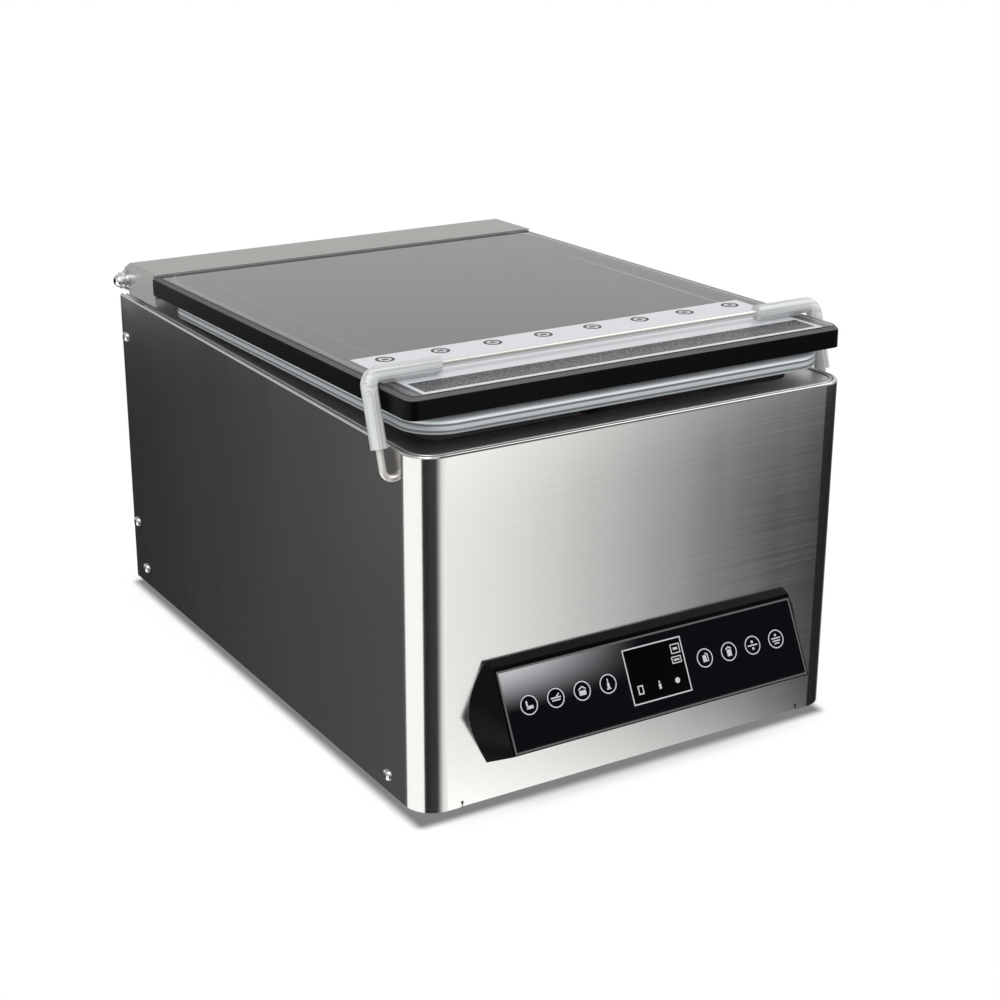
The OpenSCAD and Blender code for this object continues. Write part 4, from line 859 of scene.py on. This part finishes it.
class SEALER_OT_stage(bpy.types.Operator):
    """Pale floor, soft lamps, studio surround and camera"""
    bl_idname = "sealer.stage"
    bl_label = "Studio"

    camera_at = (-0.7271, -1.2311, 0.6428)
    camera_turns = (31.605, -19.918, 0.273)            # heading, tilt and roll, in degrees
    camera_lens, camera_sensor = 70.026, 36.0          # in millimetres
    lamps = (("key lamp", (-1.5, -1.3, 2.1), 1.5, 26.0),      # place, side and power
             ("fill lamp", (1.7, -0.9, 1.8), 1.8, 12.0))
    lamp_aim = (0, 0, 0.13)

    def execute(self, context):
        context.scene.view_settings.view_transform = "Standard"
        self.camera()
        self.floor()
        self.surround()
        for lamp in self.lamps:
            self.lamp(*lamp)
        return {"FINISHED"}

    def camera(self):
        """The camera stands left of the front and looks down on the machine."""
        data = bpy.data.cameras.new("Camera")
        data.sensor_width, data.lens = self.camera_sensor, self.camera_lens
        made = bpy.data.objects.new("Camera", data)
        bpy.context.scene.collection.objects.link(made)
        heading, tilt, roll = (math.radians(a) for a in self.camera_turns)
        ahead = Vector((math.sin(heading) * math.cos(tilt), math.cos(heading) * math.cos(tilt),
                        math.sin(tilt)))
        right = ahead.cross(Vector((0, 0, 1))).normalized()
        up = right.cross(ahead)
        right, up = (right * math.cos(roll) + up * math.sin(roll),
                     up * math.cos(roll) - right * math.sin(roll))
        turn = Matrix((right, up, -ahead)).transposed()
        made.matrix_world = Matrix.Translation(self.camera_at) @ turn.to_4x4()
        bpy.context.scene.camera = made

    def floor(self):
        """A matt white plane. The camera sees it glow softly, as it would in a full white studio,
        and plain white away from the machine; close under the cabinet it is the grey of a contact
        shadow, which stops shorter on the right."""
        reach = 4.0
        x = np.linspace(-reach, reach, 3)
        grid = np.stack(np.meshgrid(x, x, indexing="ij") + [np.zeros((3, 3))], 2)
        mesh = bpy.data.meshes.new("floor")
        mesh.from_pydata(grid.reshape(-1, 3).tolist(), [], grid_faces(3, 3, False, False).tolist())
        made = bpy.data.objects.new("floor", mesh)
        bpy.context.scene.collection.objects.link(made)
        made.visible_glossy = False
        p = new_paint("pale floor")
        x, y, _ = p.xyz()
        inset, right_inset = 0.003, 0.012              # of the shadow's edge inside the walls
        across = (x - (WALL_X - right_inset)).high(inset - WALL_X - x).high(0.0)
        along = (PANEL_Y + inset - y).high(y - (BACK_Y - inset)).high(0.0)
        clear_of_it = (across * across + along * along).root()
        grain = p.noise((40, 40, 40), 2)
        shell = p.add("BsdfDiffuse", None, {"Color": p.mix(grain, grey(0.84), grey(0.86))})
        glow = p.add("Emission", None, {"Color": tint(grey(1.0)), "Strength": 0.32})
        lit = p.add("AddShader", None, {0: shell, 1: glow})
        blank = p.add("Emission", None, {"Color": tint(grey(1.0)), "Strength": 1.0})
        open_floor = p.add("MixShader", None, {0: clear_of_it.step(0.002, 0.028), 1: lit, 2: blank})
        shadow = p.add("Emission", None, {"Color": tint(grey(0.22)), "Strength": 1.0})
        near = p.add("MixShader", None,
                     {0: clear_of_it.step(0.0005, 0.011), 1: shadow, 2: open_floor})
        seen = p.add("LightPath", out="Is Camera Ray")
        surface = p.add("MixShader", None, {0: seen, 1: shell, 2: near})
        p.add("OutputMaterial", None, {"Surface": surface})
        mesh.materials.append(p.owner)

    def surround(self):
        """What the camera sees is white, also through clear pieces. Polished metal sees the studio:
        boards and dark gaps between them by compass bearing, with a board in front that fades from
        left to right, and paler light above them. The rest of the light is even.

        A bearing is in degrees: 0 is the machine's right, 90 behind it, 180 its left and -90 in
        front of it. A height is the z of the direction that is looked in: -1 is straight down."""
        world = bpy.data.worlds.new("studio")
        world.cycles.sampling_method = "NONE"
        bpy.context.scene.world = world
        p = Paint(world)
        x, y, z = p.xyz(p.add("TexCoord", out="Generated"))
        bearing = p.add("Math", {"operation": "ARCTAN2"}, {0: y, 1: x}) * (180 / math.pi)
        past = 400.0                                   # beyond every bearing

        def sector(start, end, soft=1.0):
            """1 from one bearing to another."""
            started = bearing.step(start - soft, start + soft)
            return started * (1.0 - bearing.step(end - soft, end + soft))

        def lower(height, start, end):
            """1 below a soft height."""
            return 1.0 - height.step(start, end)

        # The bright strip on the left, which the rounded corner at the front left mirrors
        strip_back, strip_front = 134.8, -148.4
        strip = sector(strip_back, past) + sector(-past, strip_front)

        # The board in front, which the front wall mirrors: its top and foot are brighter, and its
        # right end has a dark gap between them. Their edges climb from left to right.
        middle, fade, level, most = -59.3, -0.139, 1.34, 1.38
        slope = (bearing - middle) * fade + level - (1.0 - bearing.step(-60.5, -57.0)) * 0.08
        board = bearing.step(-102.0, -68.0) * slope.low(most).high(0.0)
        rim, foot = z - (bearing + 59.5) * 0.0037, z - (bearing + 59.5) * 0.0045
        board = board + sector(-64.0, -48.0) * rim.step(-0.332, -0.323) * 0.33
        board = board + sector(-64.0, -49.0) * lower(foot, -0.486, -0.469) * 0.75
        end = sector(-50.0, -36.0, 0.6) * lower(rim, -0.366, -0.352) * rim.step(-0.452, -0.436)
        board = board * (1.0 - end * 0.75)

        # Dim light beside the left wall, then paler boards behind the right and low at front left
        behind = 92.0
        left_side = sector(behind, strip_back, 4.0)
        beside = bearing.step(106.0, 121.0) * (1.0 - strip)
        near = bearing.step(114.5, 118.5) * (1.0 - strip) * z.step(-0.40, -0.33)
        right_side = sector(24.0, behind, 8.0) * (0.40 - z.step(-0.42, -0.31) * 0.26)
        under = (0.025 - left_side * 0.010 + strip * 1.55 + board + beside * 0.102 + near * 0.030
                 + right_side + sector(-125.0, -90.0, 8.0) * 0.025)
        under = under + sector(strip_front, -68.0, 8.0) * lower(z, -0.60, -0.52) * 0.30

        # Just under the horizon the boards give way to an even light, brighter on the left
        deep = 1.0 - z.step(-0.285, -0.19) * (1.0 - left_side) - z.step(-0.241, -0.214) * left_side
        below = under * deep + (0.50 + left_side * 0.50) * (1.0 - deep)

        # Above the horizon a dark shade stands in front, and the light is lower behind and left
        shade = sector(-84.0, -34.0, 6.0) * lower(z, 0.68, 0.85)
        above = 0.95 - sector(24.0, 90.0, 8.0) * 0.08 - sector(90.0, past, 8.0) * 0.35
        above = above * (1.0 - shade) + shade * 0.02
        up = z.step(-0.04, 0.08)
        glossy = below * (1.0 - up) + above * up

        even = 0.62                                    # what lights matt surfaces
        camera_ray = p.add("LightPath", out="Is Camera Ray")
        shiny = p.other(camera_ray, "Is Glossy Ray")
        white = camera_ray.high(p.other(camera_ray, "Is Transmission Ray"))
        strength = white + (1.0 - white) * (shiny * glossy + (1.0 - shiny) * even)
        shown = p.add("Background", None, {"Color": tint(grey(1.0)), "Strength": strength})
        p.add("OutputWorld", None, {"Surface": shown})

    def lamp(self, name, place, side, power):
        data = bpy.data.lights.new(name, "AREA")
        data.shape, data.size, data.energy = "SQUARE", side, power
        made = bpy.data.objects.new(name, data)
        bpy.context.scene.collection.objects.link(made)
        made.location = place
        made.rotation_mode = "QUATERNION"
        ahead = Vector(self.lamp_aim) - Vector(place)
        made.rotation_quaternion = ahead.to_track_quat("-Z", "Y")


class SEALER_PT_panel(bpy.types.Panel):
    """Lists the sealer's sizes, colours and pieces"""
    bl_idname = "SEALER_PT_panel"
    bl_label = "Vacuum sealer"
    bl_space_type = "VIEW_3D"
    bl_region_type = "UI"
    bl_category = "Sealer"

    def draw(self, context):
        for group in (context.scene.sealer_sizes, context.scene.sealer_colours):
            for name in group.bl_rna.properties.keys():
                if name not in {"rna_type", "name"}:
                    self.layout.prop(group, name)
        for step in STEPS:
            self.layout.operator(step.bl_idname)


STEPS = (SEALER_OT_stage, SEALER_OT_cabinet, SEALER_OT_lid, SEALER_OT_lid_film, SEALER_OT_bail,
         SEALER_OT_keypad, SEALER_OT_chamber, SEALER_OT_pump, SEALER_OT_back)
CLASSES = (SealerSizes, SealerColours, *STEPS, SEALER_PT_panel)


def register():
    for made in CLASSES:
        bpy.utils.register_class(made)
    bpy.types.Scene.sealer_sizes = bpy.props.PointerProperty(type=SealerSizes)
    bpy.types.Scene.sealer_colours = bpy.props.PointerProperty(type=SealerColours)


def unregister():
    del bpy.types.Scene.sealer_sizes, bpy.types.Scene.sealer_colours
    for made in reversed(CLASSES):
        bpy.utils.unregister_class(made)


def main():
    """Makes every piece."""
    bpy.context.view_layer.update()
    register()
    for step in STEPS:
        family, name = step.bl_idname.split(".")
        getattr(getattr(bpy.ops, family), name)()


if __name__ == "__main__":
    main()
